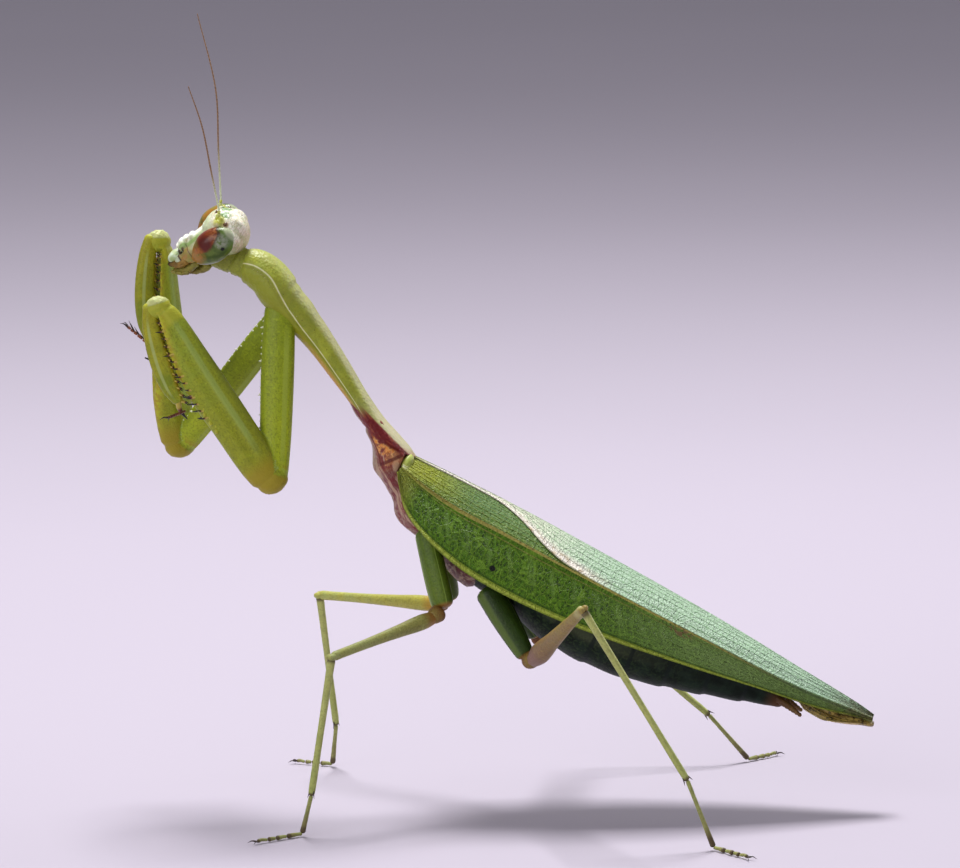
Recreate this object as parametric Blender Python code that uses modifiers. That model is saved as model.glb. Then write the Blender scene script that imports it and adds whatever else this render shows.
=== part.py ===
"""A praying mantis at life size, standing on its four walking legs with its forelegs folded.

It faces -X, its left side is -Y, and the soles of its feet lie in the plane z = 0.
Lengths are in millimetres, and MM turns them into Blender's metres as each piece is made.
Each piece of the body is a closed skin drawn through rings, parted from the next by a thin cut.
"""

from math import pi, radians, sin

import bmesh
import bpy
from mathutils import Matrix, Vector

MM = 0.001
GAP = 0.3  # kept between neighbouring pieces
X, Y, Z = Vector((1, 0, 0)), Vector((0, 1, 0)), Vector((0, 0, 1))

# The rear body: the folded wings and the abdomen slope down to the back from the wings' root.
WING_ROOT = Vector((-9.5, 0.0, 35.4))
REAR_PITCH = radians(27.9)
WING_LENGTH = 53.4
WING_THICKNESS = 0.5
WING_STACK = WING_THICKNESS + GAP + 0.1  # each wing lies this far under the one above it

# Outlines of the wings: distance from the root along the body, then the value there.
RIDGE_HALF_WIDTH = ((0, 2.9), (3, 3.7), (11.5, 5.5), (21.5, 6.0), (34, 5.1), (45, 3.1), (53.4, 0.8))
RIDGE_HEIGHT = ((0, -0.9), (3.6, -1.35), (7, -1.5), (12, -1.3), (34, -1.3), (45, -1.5), (53.4, -1.05))
CROWN_HEIGHT = ((0, 0.35), (5, 0.55), (14, 0.6), (23, 0.52), (32, 0.38), (38, 0.2), (44, -0.12), (50, -0.4),
                (53.4, -0.65))
MARGIN_HALF_WIDTH = ((0, 3.4), (2, 4.2), (6, 5.7), (15, 7.0), (23, 7.4), (35, 6.0), (45, 3.4), (53.4, 0.95))
MARGIN_HEIGHT = ((0, -1.4), (0.7, -2.5), (2.2, -4.2), (4.5, -5.3), (8.8, -6.35), (12.5, -6.65), (18, -6.45),
                 (25.4, -5.75), (34, -4.75), (41, -3.75), (48, -2.6), (53.4, -1.35))

FIELD_BULGE = 0.06  # how far the outer field swells, as a share of its height
BACK_SHARE = 0.6  # the part of a wing's width that lies on the back; the rest hangs down the side
INNER_EDGE = 0.3  # where the upper wing's inner edge starts, right of the middle
INNER_SWEEP = (7.0, 19.5)  # between these it sweeps across the back to the left ridge
INNER_SHY = 0.5  # and then stays this far short of the ridge
UNDERLAP = 0.35  # how far the lower wing passes under the upper, as a share of the ridge's half width
HINDWING_START = 8.0
HINDWING_INSET = 1.7  # how much narrower than the back a folded hindwing is
HINDWING_DROOP = 0.7  # how far its edge hangs out below the forewings' tips

# The trunk from the neck back to the abdomen, as (x, z, half width, half height) at rings down
# its length, and the slanting planes that part it: (x, z) of each plane's upper and lower ends.
TRUNK = ((-26.2, 54.4, 1.5, 1.6), (-24.8, 54.05, 1.9, 1.95), (-23.5, 53.15, 2.3, 2.05),
         (-22.5, 51.8, 2.4, 2.1), (-21.5, 50.5, 2.1, 1.85), (-20.2, 49.0, 1.8, 1.65),
         (-18.3, 46.5, 1.5, 1.4), (-16.3, 43.6, 1.45, 1.2), (-14.5, 40.9, 1.55, 1.05),
         (-12.9, 38.4, 1.85, 1.35), (-11.7, 36.5, 2.1, 2.0), (-10.9, 34.9, 2.1, 2.1),
         (-10.2, 33.0, 2.1, 1.8), (-8.6, 30.2, 2.4, 2.15), (-6.3, 28.1, 2.6, 2.6),
         (-3.6, 26.2, 2.8, 3.1), (-1.0, 24.6, 3.1, 3.5), (1.3, 23.2, 3.3, 3.6))
TRUNK_SIDES = 12
BEHIND_PROTHORAX = ((-9.2, 35.9), (-15.2, 40.3))
BEHIND_MESOTHORAX = ((-4.1, 29.8), (-7.8, 25.2))
WING_ROOM_HEIGHT = -1.75  # the thorax is kept below this under the wings, in the rear body's frame
WING_ROOM = (20.0, 12.0, 10.0)
# The abdomen, in the rear body's own frame: (along, up, half width, half height).
ABDOMEN = ((15.9, -5.5, 3.3, 3.4), (20, -5.9, 4.2, 3.9), (24, -6.1, 4.4, 4.0), (28, -5.9, 4.2, 3.8),
           (32, -5.4, 3.6, 3.3), (36, -4.9, 3.0, 2.6), (40, -4.3, 2.2, 1.9), (43.4, -4.0, 1.3, 1.1),
           (45.0, -4.1, 0.7, 0.6))
ABDOMEN_SIDES = 14
# A cercus, in the same frame: its root and tip on the right, and its radius at root, middle and tip.
CERCUS = ((44.0, 0.8, -3.9), (46.8, 1.3, -4.2))
CERCUS_RADII = (0.32, 0.35, 0.25)
# A rounded end: rings this far out, and this wide, as shares of the last station's half width.
ROUND_END = ((0.45, 0.84), (0.75, 0.42))

# The middle of the whole in plan, which becomes the origin.
PLAN_CENTRE = Vector((-0.62, 0.75, 0.0))

# The head is rolled towards its left and tipped, its mouth at the far foreleg.
HEAD_CENTRE = Vector((-28.8, 0.0, 57.4))
HEAD_UP = Vector((0.773, -0.263, 0.578))
HEAD_RIGHT = Vector((0.004, 0.912, 0.410))
CRANIUM_CENTRE = Vector((0.0, -0.33, 1.1))
CRANIUM = Vector((2.75, 2.65, 2.4))  # half axes: across, deep, tall
EYE_CENTRE = Vector((2.25, 0.05, -0.05))
EYE = Vector((1.45, 1.6, 2.5))
# The face below the eyes: (up, half width, half depth, forward).
FACE = ((1.6, 1.6, 1.6, -0.1), (0.0, 1.9, 1.8, -0.1), (-2.2, 1.75, 1.4, 0.2), (-3.6, 1.35, 1.0, 0.5),
        (-5.0, 1.0, 0.75, 0.6), (-6.0, 0.6, 0.5, 0.4))
# The jaws and lower lip behind the face, listed the same way.
JAWS = ((-2.6, 1.2, 1.05, -1.4), (-3.5, 1.3, 1.3, -1.5), (-4.7, 1.05, 1.0, -1.2), (-5.9, 0.7, 0.65, -0.7))
NECK_RADIUS = 1.45
ANTENNA_BASE = Vector((0.95, 1.35, 1.45))
ANTENNA_RADIUS = 0.3
ANTENNA_TAPER = 0.84
ANTENNAE = {
    "left": ((-28.2, -0.8, 64.0), (-29.5, -2.0, 69.3), (-31.0, -3.0, 72.6)),
    "right": ((-28.0, 1.0, 65.6), (-28.4, 2.0, 71.7), (-29.3, 3.0, 76.6), (-31.0, 4.0, 79.2)),
}

# The limbs, joint by joint: hip, then each joint out from it.
FORELEGS = {
    "left": ((-22.3, -2.2, 49.4), (-22.45, -4.3, 33.3), (-34.5, -4.7, 51.2), (-31.2, -4.7, 40.3)),
    "right": ((-22.75, 2.3, 48.45), (-33.0, 4.9, 35.3), (-35.3, 3.3, 57.0), (-35.6, 3.3, 45.4)),
}
FORE_TARSI = {
    "left": ((-31.3, -5.75, 40.9), (-32.7, -8.0, 39.9)),
    "right": ((-37.2, 3.4, 45.9), (-38.4, 3.9, 47.9)),
}
WALKING_LEGS = {
    ("mid", "left"): ((-7.6, -2.4, 28.4), (-5.7, -5.0, 20.1), (-15.6, -15.0, 17.5), (-17.4, -17.6, 4.1)),
    ("mid", "right"): ((-6.8, 2.4, 27.4), (-6.1, 4.5, 19.4), (-20.0, 13.0, 18.7), (-18.6, 15.4, 4.6)),
    ("hind", "left"): ((-1.4, -2.8, 22.6), (3.2, -5.5, 15.4), (9.5, -20.5, 23.6), (19.7, -20.0, 6.8)),
    ("hind", "right"): ((-1.3, 2.8, 22.8), (3.3, 6.0, 15.6), (4.2, 20.5, 18.3), (19.8, 21.0, 5.2)),
}
# Each foot: where its first long joint meets the floor, and its tip.
FEET = {
    ("mid", "left"): ((-18.3, -17.6), (-22.3, -21.6)),
    ("mid", "right"): ((-19.1, 16.4), (-23.0, 17.5)),
    ("hind", "left"): ((22.3, -20.4), (25.8, -24.4)),
    ("hind", "right"): ((23.8, 22.6), (26.6, 25.9)),
}
# Half widths along a limb, as (share of its length, across, deep, bow). On a foreleg the bow is
# towards the tibia on the femur, and towards the femur on the tibia.
FORE_COXA = ((0.0, 1.0, 1.35, 0), (0.25, 1.05, 1.6, 0), (0.7, 1.0, 1.55, 0), (1.0, 1.0, 1.4, 0))
FORE_FEMUR = ((0.0, 1.1, 1.7, 0.35), (0.12, 1.2, 1.95, 0.45), (0.33, 1.25, 2.05, 0.4),
              (0.5, 1.25, 2.1, 0.4), (0.7, 1.15, 1.85, 0.15), (0.88, 0.95, 1.6, -0.05),
              (0.97, 0.9, 1.25, 0.0))
FORE_TIBIA = ((0.0, 0.5, 0.55, -0.35), (0.2, 0.6, 0.75, -0.75), (0.5, 0.6, 0.9, -0.95),
              (0.75, 0.52, 0.8, -0.85), (0.92, 0.4, 0.45, -0.5))
MID_COXA = ((0.0, 1.1, 1.15, 0), (0.5, 0.95, 1.0, 0), (0.85, 0.75, 0.8, 0), (1.0, 0.65, 0.7, 0))
HIND_COXA = ((0.0, 1.5, 1.2, 0), (0.4, 1.35, 1.1, 0), (0.85, 0.95, 0.9, 0), (1.0, 0.7, 0.75, 0))
MID_FEMUR = ((0.0, 0.65, 0.75, 0), (0.12, 0.68, 0.8, 0), (0.35, 0.55, 0.65, 0), (0.6, 0.45, 0.52, 0),
             (0.9, 0.42, 0.47, 0), (1.0, 0.45, 0.5, 0))
HIND_FEMUR = ((0.0, 0.8, 0.95, 0), (0.15, 0.85, 1.05, 0), (0.4, 0.7, 0.82, 0), (0.7, 0.55, 0.62, 0),
              (0.9, 0.48, 0.52, 0), (1.0, 0.5, 0.55, 0))
TIBIA = ((0.0, 0.4, 0.45, 0), (0.1, 0.38, 0.42, 0), (0.6, 0.34, 0.36, 0), (0.95, 0.36, 0.38, 0),
         (1.0, 0.34, 0.36, 0))
COXA_TEETH = 7
COXA_TOOTH = 0.65  # how far a tooth stands out
FEMUR_SPINES = 6
FEMUR_SPINE_ROWS = 1.05  # each row stands this far from the middle of the femur
FEMUR_SPINE_REACHES = (0.6, 0.9)  # short and long spines by turns
CLAW_LENGTH = 2.0
SPINE_RADIUS = 0.2
FORE_TARSUS = ((0.0, 0.28, 0.28, 0), (0.5, 0.25, 0.25, 0), (0.9, 0.28, 0.28, 0), (1.0, 0.25, 0.25, 0))
FOOT_RADIUS = 0.3
FOOT_KNOT = 0.38  # the thicker end of each of its five joints
FOOT_SHARES = (0.0, 0.34, 0.58, 0.76, 1.0)  # joints of the foot that lie on the floor
SOLE_SINK = 0.1  # how much of the foot's underside is cut flat

COLOURS = {
    "leaf green": (0.16, 0.33, 0.05),
    "yellow green": (0.38, 0.46, 0.07),
    "olive": (0.23, 0.30, 0.06),
    "pale green": (0.55, 0.62, 0.30),
    "eye": (0.30, 0.10, 0.03),
    "rose brown": (0.35, 0.12, 0.09),
    "dark green": (0.04, 0.09, 0.04),
    "amber": (0.50, 0.28, 0.06),
    "antenna": (0.45, 0.30, 0.14),
}


def start_empty():
    for old in list(bpy.data.objects):
        bpy.data.objects.remove(old)
    made = {}
    for name in ("praying_mantis", "cutters"):
        made[name] = bpy.data.collections.new(name)
        bpy.context.scene.collection.children.link(made[name])
    made["cutters"].hide_render = True
    return made


def material(name):
    """The material of a colour's name, made the first time that it is asked for."""
    found = bpy.data.materials.get(name)
    if found:
        return found
    made = bpy.data.materials.new(name)
    made.use_nodes = True
    shader = made.node_tree.nodes["Principled BSDF"]
    shader.inputs["Base Color"].default_value = (*COLOURS[name], 1.0)
    shader.inputs["Roughness"].default_value = 0.4
    shader.inputs["Metallic"].default_value = 0.0
    return made


def smooth_step(value, low, high):
    share = min(max((value - low) / (high - low), 0.0), 1.0)
    return share * share * (3 - 2 * share)


def outline(points, at):
    """The value at a distance on a smooth line through a few (distance, value) points."""
    last = len(points) - 1
    span = next((i for i in range(last) if at <= points[i + 1][0]), last - 1)
    slopes = []
    for i in (span, span + 1):
        before, after = points[max(i - 1, 0)], points[min(i + 1, last)]
        slopes.append((after[1] - before[1]) / (after[0] - before[0]))
    (x0, y0), (x1, y1) = points[span], points[span + 1]
    width = x1 - x0
    t = (at - x0) / width
    return (
        y0 * (1 + 2 * t) * (1 - t) ** 2
        + y1 * t * t * (3 - 2 * t)
        + width * (slopes[0] * t * (1 - t) ** 2 - slopes[1] * t * t * (1 - t))
    )


def frame_of(along, side, origin):
    """A frame whose Z runs along a piece, with its X as near to the side as it can be."""
    z = along.normalized()
    y = z.cross(side).normalized()
    x = y.cross(z)
    axes = Matrix((x, y, z)).transposed().to_4x4()
    return Matrix.Translation(origin) @ axes


def skin(rings, sides):
    """A closed skin through rings, each a matrix that shapes and places a circle of radius 1."""
    bm = bmesh.new()
    bmesh.ops.create_circle(bm, segments=sides, radius=1.0, matrix=rings[0])
    loop = bm.edges[:]
    for before, after in zip(rings, rings[1:]):
        grown = bmesh.ops.extrude_edge_only(bm, edges=loop)["geom"]
        corners = {item for item in grown if isinstance(item, bmesh.types.BMVert)}
        loop = [e for e in grown if isinstance(e, bmesh.types.BMEdge) and corners.issuperset(e.verts)]
        bmesh.ops.transform(bm, matrix=after @ before.inverted(), verts=list(corners))
    bmesh.ops.holes_fill(bm, edges=bm.edges, sides=sides)
    bmesh.ops.recalc_face_normals(bm, faces=bm.faces)
    return bm


def rounded(stations):
    """The (point, half width, half height) stations with two smaller rings closing each end."""
    caps = []
    for (point, width, height), inner in ((stations[0], stations[1]), (stations[-1], stations[-2])):
        outwards = (point - inner[0]).normalized() * min(width, height)
        caps.append([(point + outwards * out, width * wide, height * wide) for out, wide in ROUND_END])
    return [*reversed(caps[0]), *stations, *caps[1]]


def path_rings(stations, side, grow=0.0):
    """Rings square to the path through (point, half width, half height) stations."""
    rings = []
    for i, (point, width, height) in enumerate(stations):
        before, after = stations[max(i - 1, 0)][0], stations[min(i + 1, len(stations) - 1)][0]
        shape = Matrix.Diagonal((width + grow, height + grow, 1.0, 1.0))
        rings.append(frame_of(after - before, side, point) @ shape)
    return rings


def cut_off(bm, point, normal):
    """Removes what lies beyond a plane, on the side that its normal points to, and closes the cut."""
    geometry = bm.verts[:] + bm.edges[:] + bm.faces[:]
    bmesh.ops.bisect_plane(bm, geom=geometry, dist=1e-5, plane_co=point, plane_no=normal, clear_outer=True)
    bmesh.ops.holes_fill(bm, edges=[e for e in bm.edges if e.is_boundary])
    bmesh.ops.recalc_face_normals(bm, faces=bm.faces)


def add_piece(name, bm, colour, frame, collection="praying_mantis"):
    """The bmesh, drawn in the frame's own millimetres, as an object placed by that frame."""
    bmesh.ops.scale(bm, vec=Vector((MM, MM, MM)), verts=bm.verts)
    mesh = bpy.data.meshes.new(name)
    bm.to_mesh(mesh)
    bm.free()
    mesh.materials.append(material(colour))
    mesh.shade_smooth()
    mesh.set_sharp_from_angle(angle=radians(50))
    piece = bpy.data.objects.new(name, mesh)
    bpy.data.collections[collection].objects.link(piece)
    place = Matrix.Translation((frame.translation - PLAN_CENTRE) * MM)
    piece.matrix_world = place @ frame.to_3x3().to_4x4()
    return piece


def add_cutter(name, bm, frame):
    cutter = add_piece(name, bm, "dark green", frame, "cutters")
    cutter.hide_render = True
    cutter.display_type = "WIRE"
    return cutter


def change(piece, operation, other):
    step = piece.modifiers.new(operation.lower(), "BOOLEAN")
    step.operation = operation
    step.object = other


def mirrored(point, sign, axis=0):
    """The point, its sideways coordinate turned over where the sign is -1."""
    other = Vector(point)
    other[axis] *= sign
    return other


def ellipsoid(bm, centre, half_axes, segments=14, rings=9):
    shape = Matrix.Translation(centre) @ Matrix.Diagonal((*half_axes, 1.0))
    bmesh.ops.create_uvsphere(bm, u_segments=segments, v_segments=rings, radius=1.0, matrix=shape)


def spine_cone(bm, root, tip, radius):
    """A slim four-sided spine from its root to its tip."""
    along = tip - root
    side = X if abs(along.x) < abs(along.y) else Y
    frame = frame_of(along, side, root + along / 2)
    bmesh.ops.create_cone(
        bm, cap_ends=True, segments=4, radius1=radius, radius2=radius * 0.2, depth=along.length, matrix=frame
    )


# --- trunk -----------------------------------------------------------------------------------


def trunk_stations(table, longer=0.0):
    """Stations in the plane y = 0, their first and last moved out by a little."""
    stations = [(Vector((along, 0.0, up)), width, height) for along, up, width, height in table]
    for place, inner in ((0, 1), (-1, -2)):
        point, width, height = stations[place]
        outwards = (point - stations[inner][0]).normalized()
        stations[place] = (point + outwards * longer, width, height)
    return stations


def rear_frame():
    """The rear body's frame: X runs back along it, Y to the right and Z up from its back."""
    return Matrix.Translation(WING_ROOT) @ Matrix.Rotation(REAR_PITCH, 4, "Y")


def part_trunk(bm, ends, side):
    """Cuts the trunk by a slanting plane, keeping what is in front of it (1) or behind it (-1)."""
    upper, lower = (Vector((x, 0.0, z)) for x, z in ends)
    backwards = (lower - upper).cross(Y).normalized()
    cut_off(bm, upper - backwards * side * GAP / 2, backwards * side)


def make_wing_room():
    """A block that holds the roots of the wings."""
    long, wide, tall = WING_ROOM
    middle = Matrix.Translation((long / 2 - GAP, 0.0, WING_ROOM_HEIGHT + tall / 2))
    bm = bmesh.new()
    bmesh.ops.create_cube(bm, size=1.0, matrix=middle @ Matrix.Diagonal((long, wide, tall, 1.0)))
    return add_cutter("wing_room", bm, rear_frame())


def make_trunk():
    level = Matrix.Identity(4)
    wing_room = make_wing_room()
    for name, colour, behind, before in (
        ("pronotum", "yellow green", BEHIND_PROTHORAX, None),
        ("mesothorax", "rose brown", BEHIND_MESOTHORAX, BEHIND_PROTHORAX),
        ("metathorax", "rose brown", None, BEHIND_MESOTHORAX),
    ):
        bm = skin(path_rings(trunk_stations(TRUNK), Y), TRUNK_SIDES)
        if behind:
            part_trunk(bm, behind, 1)
        if before:
            part_trunk(bm, before, -1)
        piece = add_piece(name, bm, colour, level)
        if before:
            change(piece, "DIFFERENCE", wing_room)
    rear = rear_frame()
    abdomen = skin(path_rings(trunk_stations(ABDOMEN), Y), ABDOMEN_SIDES)
    add_piece("abdomen", abdomen, "dark green", rear)
    rooms = {}
    for name, table, sides, frame in (
        ("trunk_room", TRUNK, TRUNK_SIDES, level), ("abdomen_room", ABDOMEN, ABDOMEN_SIDES, rear),
    ):
        rings = path_rings(trunk_stations(table, GAP), Y, GAP)
        rooms[name] = add_cutter(name, skin(rings, sides), frame)
    for side, sign in (("left", -1), ("right", 1)):
        root, tip = (mirrored(Vector(end), sign, 1) for end in CERCUS)
        places = (root, (root + tip) / 2, tip)
        stations = rounded([(place, radius, radius) for place, radius in zip(places, CERCUS_RADII)])
        cercus = add_piece("cercus_" + side, skin(path_rings(stations, Y), 6), "olive", rear)
        change(cercus, "DIFFERENCE", rooms["abdomen_room"])
    return rooms


# --- head ------------------------------------------------------------------------------------


def head_frame():
    """The head's frame: X to its right eye, Y out of its face and Z to its crown."""
    forward = HEAD_UP.cross(HEAD_RIGHT).normalized()
    axes = Matrix((HEAD_RIGHT.normalized(), forward, HEAD_UP.normalized())).transposed().to_4x4()
    return Matrix.Translation(HEAD_CENTRE) @ axes


def head_stations(table, longer=0.0):
    """Stations down the head's own Z, their last moved out by a little."""
    stations = [(Vector((0, forward, up)), width, depth) for up, width, depth, forward in table]
    point, width, depth = stations[-1]
    stations[-1] = (point - Z * longer, width, depth)
    return stations


def ellipsoid_room(name, centre, half_axes, frame):
    room = bmesh.new()
    ellipsoid(room, centre, half_axes + Vector((GAP, GAP, GAP)))
    return add_cutter(name, room, frame)


def make_head(rooms):
    frame = head_frame()
    cranium = bmesh.new()
    ellipsoid(cranium, CRANIUM_CENTRE, CRANIUM)
    head = add_piece("head", cranium, "pale green", frame)
    change(head, "UNION", add_cutter("face", skin(path_rings(head_stations(FACE), X), 12), frame))
    for side, sign in (("left", -1), ("right", 1)):
        eye = bmesh.new()
        ellipsoid(eye, mirrored(EYE_CENTRE, sign), EYE)
        add_piece("eye_" + side, eye, "eye", frame)
        rooms["eye_" + side] = ellipsoid_room("eye_room_" + side, mirrored(EYE_CENTRE, sign), EYE, frame)
        change(head, "DIFFERENCE", rooms["eye_" + side])
    rooms["face"] = add_cutter("face_room", skin(path_rings(head_stations(FACE, GAP), X, GAP), 12), frame)
    rooms["cranium"] = ellipsoid_room("cranium_room", CRANIUM_CENTRE, CRANIUM, frame)
    rooms["jaws"] = add_cutter("jaws_room", skin(path_rings(rounded(head_stations(JAWS)), X, GAP), 10), frame)
    jaws = add_piece("mouthparts", skin(path_rings(rounded(head_stations(JAWS)), X), 10), "olive", frame)
    change(jaws, "DIFFERENCE", rooms["face"])
    make_neck(frame, rooms)
    make_antennae(frame, rooms)


def make_neck(frame, rooms):
    """A short neck from the back of the head to the prothorax, which is also kept clear of the head."""
    start, end = frame @ Vector((0.0, -1.7, -0.8)), Vector((-25.2, 0.0, 54.0))
    stations = [(start.lerp(end, share), NECK_RADIUS, NECK_RADIUS) for share in (0.0, 0.5, 1.0)]
    neck = add_piece("neck", skin(path_rings(stations, Y), 10), "yellow green", Matrix.Identity(4))
    for name in ("cranium", "face", "jaws", "eye_left", "trunk_room"):
        change(neck, "DIFFERENCE", rooms[name])
    change(bpy.data.objects["pronotum"], "DIFFERENCE", rooms["cranium"])


def antenna_curve(name, base, route):
    """A tapered feeler as a curve with filled caps, its origin at its base."""
    curve = bpy.data.curves.new(name, "CURVE")
    curve.dimensions = "3D"
    curve.bevel_depth = ANTENNA_RADIUS * MM
    curve.bevel_resolution = 1
    curve.resolution_u = 3
    curve.use_fill_caps = True
    course = curve.splines.new("BEZIER")
    course.bezier_points.add(len(route) - 1)
    for i, (node, place) in enumerate(zip(course.bezier_points, route)):
        node.co = (place - base) * MM
        node.handle_left_type = node.handle_right_type = "AUTO"
        node.radius = 1.0 + (ANTENNA_TAPER - 1.0) * i / (len(route) - 1)
    return curve


def make_antennae(frame, rooms):
    """Two feelers drawn up and forward from between the eyes, parted from the head."""
    for side, sign in (("left", -1), ("right", 1)):
        base = frame @ mirrored(ANTENNA_BASE, sign)
        places = [Vector(place) for place in ANTENNAE[side]]
        route = [base, base.lerp(places[0], 0.4), *places]
        drawn = bpy.data.objects.new("antenna_course", antenna_curve("antenna_" + side, base, route))
        bpy.context.scene.collection.objects.link(drawn)
        graph = bpy.context.evaluated_depsgraph_get()
        bm = bmesh.new()
        bm.from_mesh(bpy.data.meshes.new_from_object(drawn.evaluated_get(graph)))
        bpy.data.objects.remove(drawn)
        bmesh.ops.remove_doubles(bm, verts=bm.verts, dist=1e-6)
        bmesh.ops.recalc_face_normals(bm, faces=bm.faces)
        bmesh.ops.scale(bm, vec=Vector((1, 1, 1)) / MM, verts=bm.verts)
        feeler = add_piece("antenna_" + side, bm, "antenna", Matrix.Translation(base))
        for name in ("cranium", "face", "eye_left", "eye_right"):
            change(feeler, "DIFFERENCE", rooms[name])


# --- wings -----------------------------------------------------------------------------------


def back_at(along, across, depth=0.0):
    """A point of the wings' rounded back, or at a depth square under it, in the rear body's frame."""
    ridge = outline(RIDGE_HALF_WIDTH, along)
    low, high = outline(RIDGE_HEIGHT, along), outline(CROWN_HEIGHT, along)
    slope = -2 * (high - low) * across / ridge ** 2
    upward = Vector((0.0, -slope, 1.0)).normalized()
    return Vector((along, across, low + (high - low) * (1 - (across / ridge) ** 2))) - upward * depth


def right_forewing_at(along, share):
    """A point of the upper wing: its first shares cross the back, and the rest hang down the side."""
    ridge = outline(RIDGE_HALF_WIDTH, along)
    inner = INNER_EDGE - (ridge - INNER_SHY) * smooth_step(along, *INNER_SWEEP)
    if share <= BACK_SHARE:
        return back_at(along, inner + (ridge - inner) * share / BACK_SHARE)
    return side_field(along, (share - BACK_SHARE) / (1 - BACK_SHARE), 1)


def left_forewing_at(along, share):
    """A point of the lower wing, whose inner part passes under the upper wing."""
    ridge = outline(RIDGE_HALF_WIDTH, along)
    if share <= BACK_SHARE:
        t = share / BACK_SHARE
        across = (UNDERLAP - (1 + UNDERLAP) * t) * ridge
        return back_at(along, across, WING_STACK * (1 - smooth_step(t, 0.95, 1.0)))
    return side_field(along, (share - BACK_SHARE) / (1 - BACK_SHARE), -1)


def side_field(along, share, sign):
    """The wing's outer field, from the ridge down to the margin, a little bulged."""
    ridge, margin = outline(RIDGE_HALF_WIDTH, along), outline(MARGIN_HALF_WIDTH, along)
    top, bottom = outline(RIDGE_HEIGHT, along), outline(MARGIN_HEIGHT, along)
    bulge = FIELD_BULGE * sin(pi * share) * (top - bottom)
    return Vector((along, sign * (ridge + (margin - ridge) * share + bulge), top + (bottom - top) * share))


def hindwing_at(along, share, sign):
    """A point of a folded hindwing, which lies under the forewings and shows below their tips."""
    reach = max(outline(RIDGE_HALF_WIDTH, along) - HINDWING_INSET, 1.2)
    across = 0.25 + (reach - 0.25) * share
    droop = HINDWING_DROOP * smooth_step(along, 45.8, 48.5) * (1 - smooth_step(along, 50.0, 54.0))
    covered = min(along, WING_LENGTH)
    crown = back_at(covered, 0.0, 2 * WING_STACK + 0.1)
    arch = outline(CROWN_HEIGHT, covered) - outline(RIDGE_HEIGHT, covered)
    fall = arch / max(reach + HINDWING_INSET, 2.4) ** 2
    return Vector((along, sign * across, crown.z - fall * across ** 2 - droop * share ** 2))


def sheet(name, point_at, start, end, steps, colour, sign):
    """A wing: a grid laid on its surface and given its thickness on the inner side."""
    columns, rows = steps
    bm = bmesh.new()
    bmesh.ops.create_grid(bm, x_segments=columns, y_segments=rows, size=0.5)
    for corner in bm.verts:
        corner.co = point_at(start + (end - start) * (corner.co.x + 0.5), corner.co.y + 0.5)
    if sign < 0:
        bmesh.ops.reverse_faces(bm, faces=bm.faces)
    wing = add_piece(name, bm, colour, rear_frame())
    thick = wing.modifiers.new("thickness", "SOLIDIFY")
    thick.thickness = WING_THICKNESS * MM
    thick.offset = -1.0
    thick.use_even_offset = True
    return wing


def make_wings():
    sheet("forewing_right", right_forewing_at, 0.0, WING_LENGTH, (16, 10), "pale green", 1)
    sheet("forewing_left", left_forewing_at, 0.0, WING_LENGTH, (16, 12), "leaf green", -1)
    for side, sign in (("left", -1), ("right", 1)):
        sheet(
            "hindwing_" + side,
            lambda along, share, sign=sign: hindwing_at(along, share, sign),
            HINDWING_START, WING_LENGTH + GAP, (14, 4), "amber", sign,
        )


# --- legs ------------------------------------------------------------------------------------


def limb_stations(length, table):
    """Stations down a limb's own Z, bowed towards its +Y."""
    return [(Vector((0, bow, share * length)), across, deep) for share, across, deep, bow in table]


def limb_skin(length, table, sides):
    return skin(path_rings(rounded(limb_stations(length, table)), X), sides)


def mitre(before, joint, after):
    """The plane that parts two limbs at a joint: its normal points from the first to the second."""
    return ((joint - before).normalized() + (after - joint).normalized()).normalized()


def groove(before, joint, after):
    """The plane at a folded knee that runs along the second limb, with its normal towards it."""
    along = (after - joint).normalized()
    onward = (joint - before).normalized()
    return (onward - along * onward.dot(along)).normalized()


def limb_piece(name, bm, joints, index, side, colour, folded_at=None):
    """Places the limb from joint index to the next, and parts it from its neighbours."""
    start, end = joints[index], joints[index + 1]
    frame = frame_of(end - start, side, start)
    back = frame.inverted()
    for place, towards in ((index, -1), (index + 1, 1)):
        if 0 < place < len(joints) - 1:
            parting = groove if place == folded_at else mitre
            normal = parting(*joints[place - 1:place + 2]) * towards
            cut_off(bm, back @ (joints[place] - normal * GAP / 2), back.to_3x3() @ normal)
    return add_piece(name, bm, colour, frame)


def unite(piece, name, growths):
    """Unites a piece with what grows from it, drawn in the piece's own frame."""
    cutter = add_cutter(name, growths, Matrix.Identity(4))
    cutter.matrix_world = piece.matrix_world
    change(piece, "UNION", cutter)


def coxa_denticles(length):
    """Small teeth on the front edge of a fore coxa."""
    bm = bmesh.new()
    for i in range(COXA_TEETH):
        root = Vector((0.0, -1.25, length * (0.12 + 0.55 * i / (COXA_TEETH - 1))))
        spine_cone(bm, root, root + Vector((0.0, -COXA_TOOTH, 0.05)), SPINE_RADIUS)
    return bm


def femur_spines(length, fold):
    """Spines beside the groove of a fore femur, which pass either side of the folded tibia."""
    bm = bmesh.new()
    for i in range(FEMUR_SPINES):
        share = 0.36 + 0.44 * i / (FEMUR_SPINES - 1)
        edge = min(1.3, (1 - share) * length * fold - GAP / 2)
        sunk = 0.5
        reach = FEMUR_SPINE_REACHES[i % 2] + sunk
        for sign in (-1, 1):
            root = Vector((sign * FEMUR_SPINE_ROWS, edge - sunk, share * length))
            spine_cone(bm, root, root + Vector((sign * 0.2, reach, 0.4)), SPINE_RADIUS)
    return bm


def tibia_claw(length):
    """The strong claw that ends a fore tibia."""
    bm = bmesh.new()
    root = Vector((0.0, -0.5, length * 0.9))
    spine_cone(bm, root, root + Vector((0.0, 0.1, CLAW_LENGTH)), 0.34)
    return bm


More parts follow.
